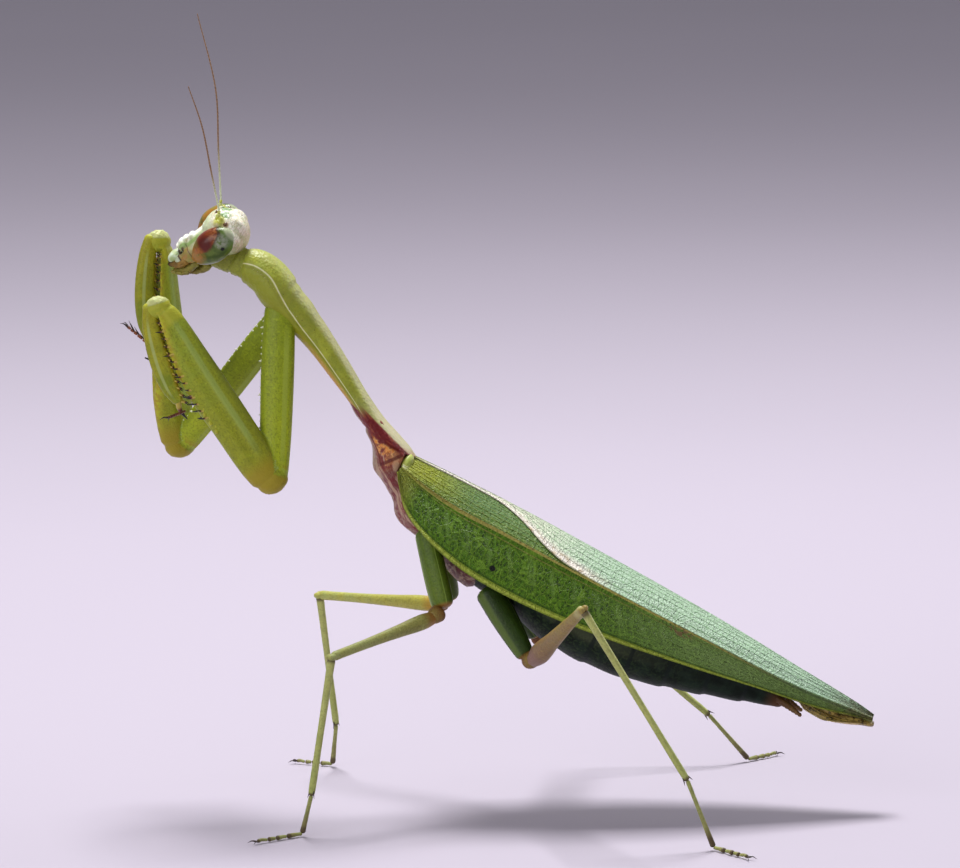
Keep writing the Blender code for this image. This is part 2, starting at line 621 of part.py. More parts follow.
def make_foreleg(side, places, rooms):
    joints = [Vector(place) for place in places]
    across = (joints[2] - joints[1]).cross(joints[3] - joints[2]).normalized()
    across *= 1 if across.y > 0 else -1
    lengths = [(after - before).length for before, after in zip(joints, joints[1:])]
    fold = (joints[2] - joints[1]).cross(joints[3] - joints[2]).length / (lengths[1] * lengths[2])
    for index, (part, table, sides, growths, colour) in enumerate((
        ("coxa", FORE_COXA, 10, coxa_denticles(lengths[0]), "yellow green"),
        ("femur", FORE_FEMUR, 12, femur_spines(lengths[1], fold), "leaf green"),
        ("tibia", FORE_TIBIA, 8, tibia_claw(lengths[2]), "leaf green"),
    )):
        name = f"fore_{side}_{part}"
        bm = limb_skin(lengths[index], table, sides)
        piece = limb_piece(name, bm, joints, index, across, colour, folded_at=2)
        unite(piece, name + "_growths", growths)
        if part == "coxa":
            change(piece, "DIFFERENCE", rooms["trunk_room"])
    make_fore_tarsus(side)


def make_fore_tarsus(side):
    """The slender foot of a foreleg, folded at the outer side of its tibia near the claw."""
    start, tip = (Vector(place) for place in FORE_TARSI[side])
    bm = skin(path_rings(rounded(limb_stations((tip - start).length, FORE_TARSUS)), X), 6)
    add_piece(f"fore_{side}_tarsus", bm, "rose brown", frame_of(tip - start, Z, start))


def foot_stations(ankle, heel, tip):
    """Stations down a foot: its long first joint slopes to the floor and four short ones lie on it."""
    floor = FOOT_RADIUS - SOLE_SINK
    heel, tip = Vector((*heel, floor)), Vector((*tip, floor))
    waist = FOOT_RADIUS * 0.9
    stations = [(ankle, FOOT_RADIUS, FOOT_RADIUS), (ankle.lerp(heel, 0.5), waist, waist),
                (ankle.lerp(heel, 0.85), FOOT_KNOT, FOOT_KNOT)]
    for begin, end in zip(FOOT_SHARES, FOOT_SHARES[1:]):
        stations.append((heel.lerp(tip, begin + 0.04), FOOT_RADIUS * 0.95, FOOT_RADIUS * 0.95))
        stations.append((heel.lerp(tip, end - 0.05), FOOT_KNOT, FOOT_KNOT * 0.9))
    return stations


def make_foot(name, ankle, heel, tip):
    """A foot of five joints with two claws, its underside cut flat at the floor."""
    out = (Vector((*tip, 0)) - Vector((*heel, 0))).normalized()
    side = Z.cross(out)
    start = ankle + (Vector((*heel, 0)) - ankle).normalized() * GAP * 1.6
    bm = skin(path_rings(rounded(foot_stations(start, heel, tip)), side), 6)
    cut_off(bm, Vector((0, 0, 0)), -Z)
    home = Matrix.Translation(-start)
    bm.transform(home)
    foot = add_piece(name, bm, "yellow green", Matrix.Translation(start))
    claws = bmesh.new()
    for sign in (-1, 1):
        root = Vector((*tip, 0.32)) + side * sign * 0.12 - out * 0.2
        spine_cone(claws, root, root + out * 0.8 + side * sign * 0.45 - Z * 0.1, 0.16)
    claws.transform(home)
    unite(foot, name + "_claws", claws)


def make_walking_leg(pair, side, places, foot, rooms):
    joints = [Vector(place) for place in places]
    ankle = joints[3]
    joints.append(Vector((*foot[0], 0.2)))
    across = (joints[2] - joints[1]).cross(ankle - joints[2]).normalized()
    lengths = [(after - before).length for before, after in zip(joints, joints[1:])]
    coxa, femur = (MID_COXA, MID_FEMUR) if pair == "mid" else (HIND_COXA, HIND_FEMUR)
    for index, (part, table, colour) in enumerate((
        ("coxa", coxa, "olive"), ("femur", femur, "yellow green"), ("tibia", TIBIA, "yellow green"),
    )):
        bm = limb_skin(lengths[index], table, 8)
        piece = limb_piece(f"{pair}_{side}_{part}", bm, joints, index, across, colour)
        if part == "coxa":
            change(piece, "DIFFERENCE", rooms["trunk_room"])
            change(piece, "DIFFERENCE", rooms["abdomen_room"])
    make_foot(f"{pair}_{side}_foot", ankle, *foot)


def make_legs(rooms):
    for side, places in FORELEGS.items():
        make_foreleg(side, places, rooms)
    for (pair, side), places in WALKING_LEGS.items():
        make_walking_leg(pair, side, places, FEET[pair, side], rooms)


def main():
    start_empty()
    rooms = make_trunk()
    make_head(rooms)
    make_wings()
    make_legs(rooms)


main()
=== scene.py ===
"""The looks of a praying mantis at life size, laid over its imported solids.

Every piece is drawn in millimetres and made metres as it is finished. It faces -X, and its left side is -Y.
"""

from functools import partial
from math import cos, exp, pi, radians, sin, sqrt, tau

import bmesh
import bpy
from bpy.props import FloatProperty, FloatVectorProperty, IntProperty, PointerProperty
from mathutils import Matrix, Vector, noise
from mathutils.kdtree import KDTree


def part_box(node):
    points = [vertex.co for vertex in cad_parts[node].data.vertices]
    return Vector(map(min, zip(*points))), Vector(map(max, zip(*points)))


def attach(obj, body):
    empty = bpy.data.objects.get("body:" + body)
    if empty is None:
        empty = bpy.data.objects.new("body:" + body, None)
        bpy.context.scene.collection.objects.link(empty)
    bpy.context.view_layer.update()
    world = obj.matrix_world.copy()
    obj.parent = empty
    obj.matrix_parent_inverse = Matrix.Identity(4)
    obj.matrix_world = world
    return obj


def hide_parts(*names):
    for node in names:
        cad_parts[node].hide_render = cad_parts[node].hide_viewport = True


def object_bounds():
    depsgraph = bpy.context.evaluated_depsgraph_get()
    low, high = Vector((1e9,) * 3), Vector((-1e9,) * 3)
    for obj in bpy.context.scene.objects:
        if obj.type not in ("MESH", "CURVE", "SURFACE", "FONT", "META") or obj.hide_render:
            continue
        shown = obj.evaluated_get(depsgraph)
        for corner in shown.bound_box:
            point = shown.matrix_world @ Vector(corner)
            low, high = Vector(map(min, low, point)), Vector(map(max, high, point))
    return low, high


bl_info = {
    "name": "Praying Mantis",
    "version": (1, 0, 0),
    "blender": (4, 5, 0),
    "location": "View3D > Sidebar > Mantis",
    "description": "Builds a life-size praying mantis over its packed solids",
    "category": "Add Mesh",
}

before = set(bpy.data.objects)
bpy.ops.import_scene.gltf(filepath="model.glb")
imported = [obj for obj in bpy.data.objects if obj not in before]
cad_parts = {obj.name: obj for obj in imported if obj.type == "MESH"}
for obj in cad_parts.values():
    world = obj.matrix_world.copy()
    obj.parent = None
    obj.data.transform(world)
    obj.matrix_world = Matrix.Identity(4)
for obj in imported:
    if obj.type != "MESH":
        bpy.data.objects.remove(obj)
CAD_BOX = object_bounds()
MM = 0.001
X, Y, Z = Vector((1, 0, 0)), Vector((0, 1, 0)), Vector((0, 0, 1))


def at(node, *shares):
    """The point, in millimetres, at these shares of the way across a CAD node's box."""
    low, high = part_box(node)
    return Vector([(a + (b - a) * share) / MM for a, b, share in zip(low, high, shares)])


# The wings' root, from which the body's own tables are measured, and the pitch of all that lies behind it.
ROOT = at("forewing_right", 0.014, 0.41, 0.989)
PITCH = radians(27.9)
REAR = Matrix.Translation(ROOT) @ Matrix.Rotation(PITCH, 4, "Y")
WING_LENGTH = 53.4
# The folded forewings, by distance behind their root: the ridge where the back meets the side, the crown along the
# middle of the back, and the lower margin.
RIDGE_HALF_WIDTH = ((0, 2.9), (3, 3.7), (11.5, 5.5), (21.5, 6.0), (34, 5.1), (45, 3.1), (53.4, 0.8))
RIDGE_HEIGHT = ((0, -0.9), (3.6, -1.35), (7, -1.5), (12, -1.3), (34, -1.3), (45, -1.5), (53.4, -1.05))
CROWN_HEIGHT = ((0, 0.35), (5, 0.55), (14, 0.6), (23, 0.52), (32, 0.38), (38, 0.2), (44, -0.12), (50, -0.4),
                (53.4, -0.65))
MARGIN_HALF_WIDTH = ((0, 3.4), (2, 4.2), (6, 5.7), (15, 7.0), (23, 7.4), (35, 6.0), (45, 3.4), (53.4, 0.95))
MARGIN_HEIGHT = ((0, -1.4), (0.7, -2.5), (2.2, -4.2), (4.5, -5.3), (8.8, -6.35), (12.5, -6.65), (18, -6.45),
                 (25.4, -5.65), (34, -4.4), (41, -3.35), (48, -2.4), (51.2, -1.62), (53.4, -1.12))

# Rings down the trunk from the wings' root, (x, z, half width, half height), and down the abdomen along the wings.
PROTHORAX = ((-16.7, 19.0, 1.5, 1.6), (-15.3, 18.65, 1.9, 1.95), (-14.0, 17.75, 2.3, 2.05), (-13.0, 16.4, 2.4, 2.1),
             (-12.0, 15.1, 2.1, 1.85), (-10.7, 13.6, 1.8, 1.65), (-8.8, 11.1, 1.5, 1.4), (-6.8, 8.2, 1.45, 1.2),
             (-5.0, 5.5, 1.55, 1.0), (-3.4, 3.0, 1.85, 1.12), (-2.2, 1.1, 2.15, 1.52), (-1.4, -0.5, 2.1, 1.95),
             (-0.9, -2.0, 2.0, 1.85))
SHELL_END = ((0.55, -0.15), (-4.85, 3.4))  # the slanting edge of the shell: its rear tip and its lower corner
THORAX = ((-5.6, 6.3, 1.2, 0.8), (-5.0, 5.5, 1.4, 0.93), (-3.4, 3.0, 1.7, 1.05), (-2.2, 1.1, 1.95, 1.4),
          (-1.4, -0.5, 2.1, 2.1), (-0.7, -2.4, 2.1, 1.8), (0.9, -5.2, 2.4, 2.15), (3.2, -7.3, 2.6, 2.6),
          (5.9, -9.2, 2.8, 3.1), (8.5, -10.8, 3.1, 3.5))
ABDOMEN = ((9.5, -5.0, 2.8, 3.0), (15.9, -5.5, 3.3, 3.4), (20, -5.9, 4.2, 3.9), (24, -6.1, 4.4, 4.0),
           (28, -5.9, 4.2, 3.8), (32, -5.4, 3.6, 3.3), (36, -4.9, 3.0, 2.6), (40, -4.3, 2.2, 1.9),
           (43.4, -4.0, 1.3, 1.1), (45.0, -4.1, 0.7, 0.6))
# A tail feeler's root and tip, along the wings, and the strap that carries a wing: back, aside and up from the
# wings' root, with the strap's half thickness.
CERCUS = ((43.6, 0.75, -3.9), (47.0, 1.35, -4.2))
WING_STRAP = ((0.25, 0.2, -0.15, 0.35), (0.15, 0.9, -0.35, 0.5), (-0.05, 1.4, -0.75, 0.5), (-0.25, 1.65, -1.3, 0.35))

# The joints of each leg, as shares of the boxes of its CAD nodes.
LEG_JOINTS = {
    "fore_left": (("coxa", 0.562, 0.768, 0.955), ("coxa", 0.52, 0.234, 0.045), ("femur", -0.008, 0.467, 0.98),
                  ("tibia", 1.017, 0.544, 0.079)),
    "fore_right": (("coxa", 0.902, 0.221, 0.934), ("coxa", 0.01, 0.78, 0.067), ("femur", 0.315, 0.361, 0.996),
                   ("tibia", 0.796, 0.794, 0.065)),
    "mid_left": (("coxa", 0.3, 0.876, 0.909), ("coxa", 0.82, 0.146, 0.033), ("femur", 0.028, 0.026, 0.108),
                 ("tibia", 0.132, 0.099, -0.006), ("foot", 0.818, 0.929, 0.052), ("foot", 0.141, 0.161, 0.052)),
    "mid_right": (("coxa", 0.446, 0.185, 0.907), ("coxa", 0.732, 0.841, 0.037), ("femur", 0.019, 0.97, 0.24),
                  ("tibia", 0.846, 0.898, -0.006), ("foot", 0.863, 0.392, 0.046), ("foot", 0.138, 0.757, 0.046)),
    "hind_left": (("coxa", 0.202, 0.821, 0.887), ("coxa", 0.924, 0.139, 0.067), ("femur", 0.962, 0.017, 0.949),
                  ("tibia", 0.978, 0.728, 0.001), ("foot", 0.384, 0.88, 0.03), ("foot", 0.881, 0.152, 0.03)),
    "hind_right": (("coxa", 0.208, 0.155, 0.879), ("coxa", 0.917, 0.888, 0.063), ("femur", 0.787, 0.986, 0.874),
                   ("tibia", 0.992, 0.722, 0.01), ("foot", 0.524, 0.3, 0.039), ("foot", 0.891, 0.859, 0.039)),
}
# Down each joint of a leg: (share of its length, half width across, half width deep, bow to the front). The knuckle
# is the short trochanter of a walking leg.
FORE_COXA = ((0.0, 1.0, 1.35, 0), (0.25, 1.05, 1.6, 0), (0.7, 1.0, 1.55, 0), (0.93, 1.0, 1.35, 0), (1.0, 0.9, 1.2, 0))
FORE_FEMUR = ((0.0, 1.1, 1.7, 0.35), (0.12, 1.2, 1.95, 0.45), (0.33, 1.25, 2.05, 0.4), (0.5, 1.25, 2.1, 0.4),
              (0.7, 1.15, 1.85, 0.15), (0.88, 0.95, 1.6, -0.05), (0.97, 0.9, 1.25, 0.0))
FORE_TIBIA = ((0.0, 0.55, 0.65, -0.4), (0.2, 0.65, 0.9, -0.9), (0.5, 0.62, 1.05, -1.1), (0.75, 0.54, 0.9, -0.95),
              (0.92, 0.4, 0.5, -0.5))
MID_COXA = ((0.0, 1.2, 1.15, 0), (0.5, 1.35, 1.1, -0.15), (0.8, 1.35, 1.05, -0.3), (0.94, 1.2, 0.9, -0.35))
HIND_COXA = ((0.0, 1.5, 1.2, 0), (0.4, 1.4, 1.1, 0), (0.8, 1.05, 0.95, 0), (0.93, 0.8, 0.8, 0))
MID_FEMUR = ((0.0, 0.55, 0.6, 0), (0.12, 0.68, 0.8, 0), (0.35, 0.55, 0.65, 0), (0.6, 0.45, 0.52, 0),
             (0.9, 0.42, 0.47, 0), (1.0, 0.45, 0.5, 0))
HIND_FEMUR = ((0.0, 0.65, 0.7, 0), (0.15, 0.85, 1.05, 0), (0.4, 0.7, 0.82, 0), (0.7, 0.55, 0.62, 0),
              (0.9, 0.48, 0.52, 0), (1.0, 0.5, 0.55, 0))
SLIM_TIBIA = ((0.0, 0.4, 0.45, 0), (0.1, 0.36, 0.4, 0), (0.6, 0.32, 0.34, 0), (0.93, 0.34, 0.36, 0),
              (1.0, 0.3, 0.32, 0))
KNUCKLE = ((0, 0.9, 0.8, 0), (0.4, 0.92, 0.88, 0), (1, 0.58, 0.64, 0))

# Tones that several finishes share.
BLACK_HORN, RED_HORN = (0.006, 0.003, 0.003), (0.05, 0.012, 0.008)
DARK_SEAM, JAW_BLACK = (0.05, 0.012, 0.006), (0.012, 0.006, 0.004)
WINE, ORANGE = (0.15, 0.006, 0.008), (0.30, 0.13, 0.025)


# --- sizes and colours that a user may change ---


def colour_setting(name, words, default):
    """A colour that a user may change."""
    return FloatVectorProperty(name=name, description=words, default=default, subtype="COLOR", size=3, min=0, max=1)


class MantisColours(bpy.types.PropertyGroup):
    """Colours of the mantis."""

    costal: colour_setting("Outer wing field", "Green of the forewing's outer field", (0.055, 0.140, 0.003))
    vein: colour_setting("Main vein", "Tan yellow of the wing's main vein", (0.40, 0.36, 0.08))
    margin: colour_setting("Wing margin", "Lime of the wing's outer edge", (0.40, 0.48, 0.06))
    amber: colour_setting("Hindwing", "Golden brown of the folded hindwings", (0.50, 0.36, 0.09))
    limb: colour_setting("Foreleg", "Yellow green of the forelegs", (0.27, 0.34, 0.022))
    pale: colour_setting("Pale limb", "Pale yellow green of the slim legs", (0.40, 0.42, 0.13))
    rose: colour_setting("Thorax", "Purplish red of the thorax under the wings", (0.20, 0.03, 0.03))
    pronotum: colour_setting("Pronotum", "Yellow green of the neck shield", (0.34, 0.37, 0.03))
    abdomen: colour_setting("Abdomen", "Dark green of the abdomen", (0.005, 0.010, 0.006))
    face: colour_setting("Face", "Whitish green of the face", (0.60, 0.66, 0.40))
    eye: colour_setting("Eye", "Rust red of the eye's front", (0.20, 0.030, 0.003))
    feeler: colour_setting("Feeler", "Brown of the antennae", (0.28, 0.15, 0.07))
    floor: colour_setting("Floor", "Pale tone of the floor", (0.46, 0.41, 0.49))


class MantisSizes(bpy.types.PropertyGroup):
    """Sizes of the fine parts, in metres."""

    wing_thickness: FloatProperty(name="Wing thickness", description="Thickness of the leathery forewings",
                                  default=0.00016, unit="LENGTH", precision=5)
    vein_height: FloatProperty(name="Vein height", description="How far the main veins stand out",
                               default=0.00012, unit="LENGTH", precision=5)
    sides: IntProperty(name="Sides", description="Faces round each joint of a leg", default=24, min=8, max=48)


# --- shapes ---


def smooth_step(value, low, high):
    """0 up to low and 1 from high on, with a smooth rise between."""
    share = min(max((value - low) / (high - low), 0.0), 1.0)
    return share * share * (3 - 2 * share)


def bump_at(value, middle, width):
    """A smooth hump of height 1 about the middle."""
    return exp(-(((value - middle) / width) ** 2))


def outline(points, at):
    """The value at a distance on a smooth line through a few (distance, value) points."""
    last = len(points) - 1
    span = next((i for i in range(last) if at <= points[i + 1][0]), last - 1)
    slopes = []
    for i in (span, span + 1):
        before, after = points[max(i - 1, 0)], points[min(i + 1, last)]
        slopes.append((after[1] - before[1]) / (after[0] - before[0]))
    (x0, y0), (x1, y1) = points[span], points[span + 1]
    width = x1 - x0
    t = (at - x0) / width
    first, second = (1 + 2 * t) * (1 - t) ** 2, t * t * (3 - 2 * t)
    leave, arrive = width * t * (1 - t) ** 2, width * t * t * (1 - t)
    return y0 * first + y1 * second + slopes[0] * leave - slopes[1] * arrive


def frame_of(along, side, origin):
    """A frame whose Z runs along a piece, with its X as near to the side as it can be."""
    z = along.normalized()
    y = z.cross(side).normalized()
    x = y.cross(z)
    return Matrix.Translation(origin) @ Matrix((x, y, z)).transposed().to_4x4()


def end_places(reach):
    """(distance from the tip, share of full width) down an end that closes round over its reach."""
    return [(reach * (1 - cos(turn)), sin(turn)) for turn in (0.1, 0.35, 0.7, 1.1)] if reach else []


def course(stations, count, ends):
    """Even rings (share, point, across, deep) on smooth lines through a few (point, across, deep) stations."""
    run, placed = 0.0, []
    for i, (point, across, deep) in enumerate(stations):
        run += (point - stations[i - 1][0]).length if i else 0.0
        placed.append((run, Vector((*point, across, deep))))
    start, end = ends
    spots = end_places(start)
    spots += [(start + (run - start - end) * i / (count - 1), 1.0) for i in range(count)]
    spots += [(run - near, share) for near, share in reversed(end_places(end))]
    rings = []
    for distance, share in spots:
        value = outline(placed, distance)
        rings.append((distance / run, Vector(value[:3]), value[3] * share, value[4] * share))
    return rings


def loft(stations, side, sides=24, count=30, ends=(0.4, 0.4), slot=0, relief=None):
    """A closed skin through stations. Its vertices keep their share along it and the turn round it."""
    bm = bmesh.new()
    share, across, upward = (bm.verts.layers.float.new(name) for name in ("share", "across", "upward"))
    rings = course(stations, count, ends)
    shapes = []
    for i, (_, point, wide, deep) in enumerate(rings):
        along = rings[min(i + 1, len(rings) - 1)][1] - rings[max(i - 1, 0)][1]
        shapes.append(frame_of(along, side, point) @ Matrix.Diagonal((wide, deep, 1.0, 1.0)))
    bmesh.ops.create_circle(bm, segments=sides, radius=1.0, matrix=shapes[0])
    back = shapes[0].inverted()
    for corner in bm.verts:
        corner[across], corner[upward], _ = back @ corner.co
        corner[share] = rings[0][0]
    loop = bm.edges[:]
    for i in range(1, len(rings)):
        grown = bmesh.ops.extrude_edge_only(bm, edges=loop)["geom"]
        corners = {item for item in grown if isinstance(item, bmesh.types.BMVert)}
        loop = [e for e in grown if isinstance(e, bmesh.types.BMEdge) and corners.issuperset(e.verts)]
        bmesh.ops.transform(bm, matrix=shapes[i] @ shapes[i - 1].inverted(), verts=list(corners))
        for corner in corners:
            corner[share] = rings[i][0]
    bmesh.ops.holes_fill(bm, edges=bm.edges, sides=sides)
    bmesh.ops.recalc_face_normals(bm, faces=bm.faces)
    if relief:
        raise_skin(bm, lambda v: relief(v[share], v[across], v[upward]))
    for face in bm.faces:
        face.material_index = slot
    return bm


def tube(points, radii, side, **settings):
    """A round skin through points."""
    return loft([(Vector(point), radius, radius) for point, radius in zip(points, radii)], side, **settings)


def raise_skin(bm, height):
    """Moves each corner out along its normal by what height gives for it."""
    bm.normal_update()
    for corner, move in [(corner, corner.normal * height(corner)) for corner in bm.verts]:
        corner.co += move


def gather(parts):
    """One bmesh of many, which are used up."""
    whole = bmesh.new()
    for part in parts:
        mesh = bpy.data.meshes.new("part")
        part.to_mesh(mesh)
        part.free()
        whole.from_mesh(mesh)
        bpy.data.meshes.remove(mesh)
    return whole


def ball(centre, half_axes, turn=Matrix.Identity(4), segments=24, rings=16, slot=0):
    """A closed ellipsoid round a centre."""
    bm = bmesh.new()
    shape = Matrix.Translation(centre) @ turn @ Matrix.Diagonal((*half_axes, 1.0))
    bmesh.ops.create_uvsphere(bm, u_segments=segments, v_segments=rings, radius=1.0, matrix=shape)
    for face in bm.faces:
        face.material_index = slot
    return bm


def thorn(root, tip, radius, bend=Vector(), sides=8, slot=0):
    """A slim spine that tapers from its root to a fine point."""
    middle = root.lerp(tip, 0.5) + bend
    stations = [(root, radius, radius), (middle, radius * 0.62, radius * 0.62), (tip, radius * 0.12, radius * 0.12)]
    side = X if abs((tip - root).normalized().x) < 0.8 else Y
    return loft(stations, side, sides=sides, count=6, ends=(0, 0), slot=slot)


def melt(bm, voxel, smoothing, factor=0.5):
    """The parts of bm grown together as one skin and smoothed."""
    mesh = bpy.data.meshes.new("lump")
    bm.to_mesh(mesh)
    bm.free()
    lump = bpy.data.objects.new("lump", mesh)
    bpy.context.scene.collection.objects.link(lump)
    grow = lump.modifiers.new("grow", "REMESH")
    grow.mode = "VOXEL"
    grow.voxel_size = voxel
    grow.adaptivity = 0.0
    ease = lump.modifiers.new("ease", "SMOOTH")
    ease.factor = factor
    ease.iterations = smoothing
    whole = bmesh.new()
    made = bpy.data.meshes.new_from_object(lump.evaluated_get(bpy.context.evaluated_depsgraph_get()))
    whole.from_mesh(made)
    bpy.data.objects.remove(lump)
    bpy.data.meshes.remove(made)
    return whole


def melt_marked(parts, voxel, smoothing):
    """Parts melted into one skin that takes its marks and its finishes from the nearest of theirs."""
    rough = gather(parts)
    marks = {name: rough.verts.layers.float[name] for name in ("share", "across", "upward", "rim")
             if name in rough.verts.layers.float}
    old = [(corner.co.copy(), [corner[layer] for layer in marks.values()], corner.link_faces[0].material_index)
           for corner in rough.verts if corner.link_faces]
    tree = KDTree(len(old))
    for i, (spot, _, _) in enumerate(old):
        tree.insert(spot, i)
    tree.balance()
    skin = melt(rough, voxel, smoothing)
    layers = [skin.verts.layers.float.new(name) for name in marks]
    finish = {}
    for corner in skin.verts:
        near = tree.find_n(corner.co, 4)
        weights = [1.0 / (away + 0.02) for _, _, away in near]
        total = sum(weights)
        for k, layer in enumerate(layers):
            corner[layer] = sum(w * old[i][1][k] for w, (_, i, _) in zip(weights, near)) / total
        finish[corner.index] = old[near[0][1]][2]
    for face in skin.faces:
        face.material_index = finish[face.verts[0].index]
    return skin


def finish_piece(name, bm, looks, nodes, place=None, sharp=60):
    """Makes the bmesh a piece of the mantis that stands for its CAD nodes."""
    if place:
        bm.transform(place)
    bmesh.ops.scale(bm, vec=Vector((MM, MM, MM)), verts=bm.verts)
    mesh = bpy.data.meshes.new(name)
    bm.to_mesh(mesh)
    bm.free()
    for look in looks:
        mesh.materials.append(look)
    mesh.shade_smooth()
    mesh.set_sharp_from_angle(angle=radians(sharp))
    piece = bpy.data.objects.new(name, mesh)
    bpy.context.scene.collection.objects.link(piece)
    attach(piece, "root")
    if nodes:
        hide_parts(*nodes)
    return piece


# --- finishes ---


class Value:
    """A socket of a finish. Arithmetic on it adds the Math nodes."""

    def __init__(self, look, socket):
        self.look = look
        self.socket = socket

    def math(self, operation, *values):
        """A Math node on values."""
        return self.look.node("ShaderNodeMath", {"operation": operation}, dict(enumerate(values)))

    def __add__(self, other):
        return self.math("ADD", self, other)

    def __radd__(self, other):
        return self.math("ADD", other, self)

    def __sub__(self, other):
        return self.math("SUBTRACT", self, other)

    def __rsub__(self, other):
        return self.math("SUBTRACT", other, self)

    def __mul__(self, other):
        return self.math("MULTIPLY", self, other)

    def __rmul__(self, other):
        return self.math("MULTIPLY", other, self)

    def __truediv__(self, other):
        return self.math("DIVIDE", self, other)

    def fract(self):
        """What is left over whole numbers."""
        return self.math("FRACT", self)

    def absolute(self):
        """The value without its sign."""
        return self.math("ABSOLUTE", self)

    def step(self, low, high):
        """0 at low and 1 at high, on whichever side that lies, with a smooth change between."""
        inputs = {"Value": self, "From Min": low, "From Max": high, "To Min": 0.0, "To Max": 1.0}
        return self.look.node("ShaderNodeMapRange", {"interpolation_type": "SMOOTHSTEP"}, inputs)

    def band(self, middle, width):
        """1 at the middle, falling to 0 a width to either side."""
        return 1 - (self - middle).absolute().step(width * 0.35, width)


class Look:
    """The nodes of one finish, and the colour that its coats have made so far."""

    def __init__(self, name, **constants):
        self.colour = None
        self.material = bpy.data.materials.new(name)
        self.material.use_nodes = True
        self.tree = self.material.node_tree
        self.shader = self.tree.nodes["Principled BSDF"]
        for socket, value in constants.items():
            self.shader.inputs[socket.replace("_", " ")].default_value = value

    def node(self, kind, settings=None, inputs=None, output=0):
        """Adds a node of a kind, sets it, feeds its sockets and returns one of its outputs."""
        made = self.tree.nodes.new(kind)
        for key, value in (settings or {}).items():
            setattr(made, key, value)
        for key, value in (inputs or {}).items():
            self.feed(made.inputs[key], value)
        return Value(self, made.outputs[output])

    def feed(self, socket, value):
        """Links a value into a socket, or sets the socket to a plain number or colour."""
        if isinstance(value, Value):
            self.tree.links.new(value.socket, socket)
        elif socket.type == "RGBA":
            socket.default_value = (*value[:3], 1.0)
        else:
            socket.default_value = value

    def attribute(self, name):
        """A mark that the mesh keeps for each corner."""
        return self.node("ShaderNodeAttribute", {"attribute_name": name}, output="Fac")

    def place(self, shift=(0, 0, 0)):
        """Where a point is in millimetres, less a shift."""
        spot = self.node("ShaderNodeTexCoord", output="Object")
        spot = self.node("ShaderNodeVectorMath", {"operation": "SCALE"}, {0: spot, "Scale": 1 / MM})
        return self.node("ShaderNodeVectorMath", {"operation": "SUBTRACT"}, {0: spot, 1: shift})

    def join(self, x, y, z=0.0):
        """A vector of three values."""
        return self.node("ShaderNodeCombineXYZ", None, {0: x, 1: y, 2: z})

    def along(self, vector, axis):
        """How far a vector reaches along an axis."""
        return self.node("ShaderNodeVectorMath", {"operation": "DOT_PRODUCT"}, {0: vector, 1: axis}, output="Value")

    def near(self, spot, where, inner, outer):
        """1 within the inner reach of a place, falling to 0 at the outer."""
        inputs = {0: spot, 1: where}
        away = self.node("ShaderNodeVectorMath", {"operation": "DISTANCE"}, inputs, output="Value")
        return 1 - away.step(inner, outer)

    def noise(self, place, scale, detail=2.0, rough=0.5):
        """Soft noise, about 0.5 on the whole."""
        inputs = {"Vector": place, "Scale": scale, "Detail": detail, "Roughness": rough}
        return self.node("ShaderNodeTexNoise", None, inputs)

    def cells(self, place, scale, feature="F1", random=1.0):
        """How far a point is from the heart of its cell in a net, or from a wall of it."""
        inputs = {"Vector": place, "Scale": scale, "Randomness": random}
        return self.node("ShaderNodeTexVoronoi", {"feature": feature}, inputs)

    def walls(self, place, random):
        """How far a point is from the walls of a net of cells, each about 1 across."""
        return self.cells(place, 1.0, "DISTANCE_TO_EDGE", random)

    def mix(self, share, first, second):
        """From the first colour to the second by a share."""
        settings = {"data_type": "RGBA", "clamp_factor": True}
        return self.node("ShaderNodeMix", settings, {0: share, 6: first, 7: second}, output=2)

    def coat(self, share, colour):
        """Lays a colour over what was laid before, by a share."""
        self.colour = self.mix(share, self.colour, colour)

    def bump(self, height, distance):
        """Adds a height of this many millimetres to the finish, over what was there before."""
        inputs = {"Height": height, "Distance": distance * MM, "Strength": 1.0}
        linked = self.shader.inputs["Normal"].links
        if linked:
            inputs["Normal"] = Value(self, linked[0].from_socket)
        self.feed(self.shader.inputs["Normal"], self.node("ShaderNodeBump", None, inputs))

    def paint(self, **others):
        """Feeds the shader the coats laid so far and any other socket that varies, and returns the material."""
        self.feed(self.shader.inputs["Base Color"], self.colour)
        for socket, value in others.items():
            self.feed(self.shader.inputs[socket.replace("_", " ")], value)
        return self.material


def colours():
    """The colours set in this scene."""
    return bpy.context.scene.mantis_colours


def sizes():
    """The fine sizes set in this scene."""
    return bpy.context.scene.mantis_sizes


def shade(colour, times):
    """A colour made darker or lighter."""
    return tuple(min(part * times, 1.0) for part in colour)


def horn_look():
    """Black and dark red horn of claws and spine tips."""
    look = Look("dark horn", Roughness=0.3)
    grain = look.noise(look.place(), 6.0)
    look.colour = look.mix(grain.step(0.4, 0.7), BLACK_HORN, RED_HORN)
    return look.paint()


def spine_look():
    """A spine that is yellow at its root and black at its tip."""
    look = Look("spine", Roughness=0.35)
    share = look.attribute("share")
    look.colour = look.mix(share.step(0.35, 0.5), (0.46, 0.36, 0.05), (0.14, 0.03, 0.015))
    look.coat(share.step(0.48, 0.62), BLACK_HORN)
    return look.paint()


def tooth_look():
    """A pale, blunt tooth of a fore coxa."""
    look = Look("pale tooth", Roughness=0.35)
    look.colour = look.mix(look.attribute("share").step(0.3, 0.8), (0.50, 0.54, 0.22), (0.78, 0.80, 0.62))
    return look.paint()


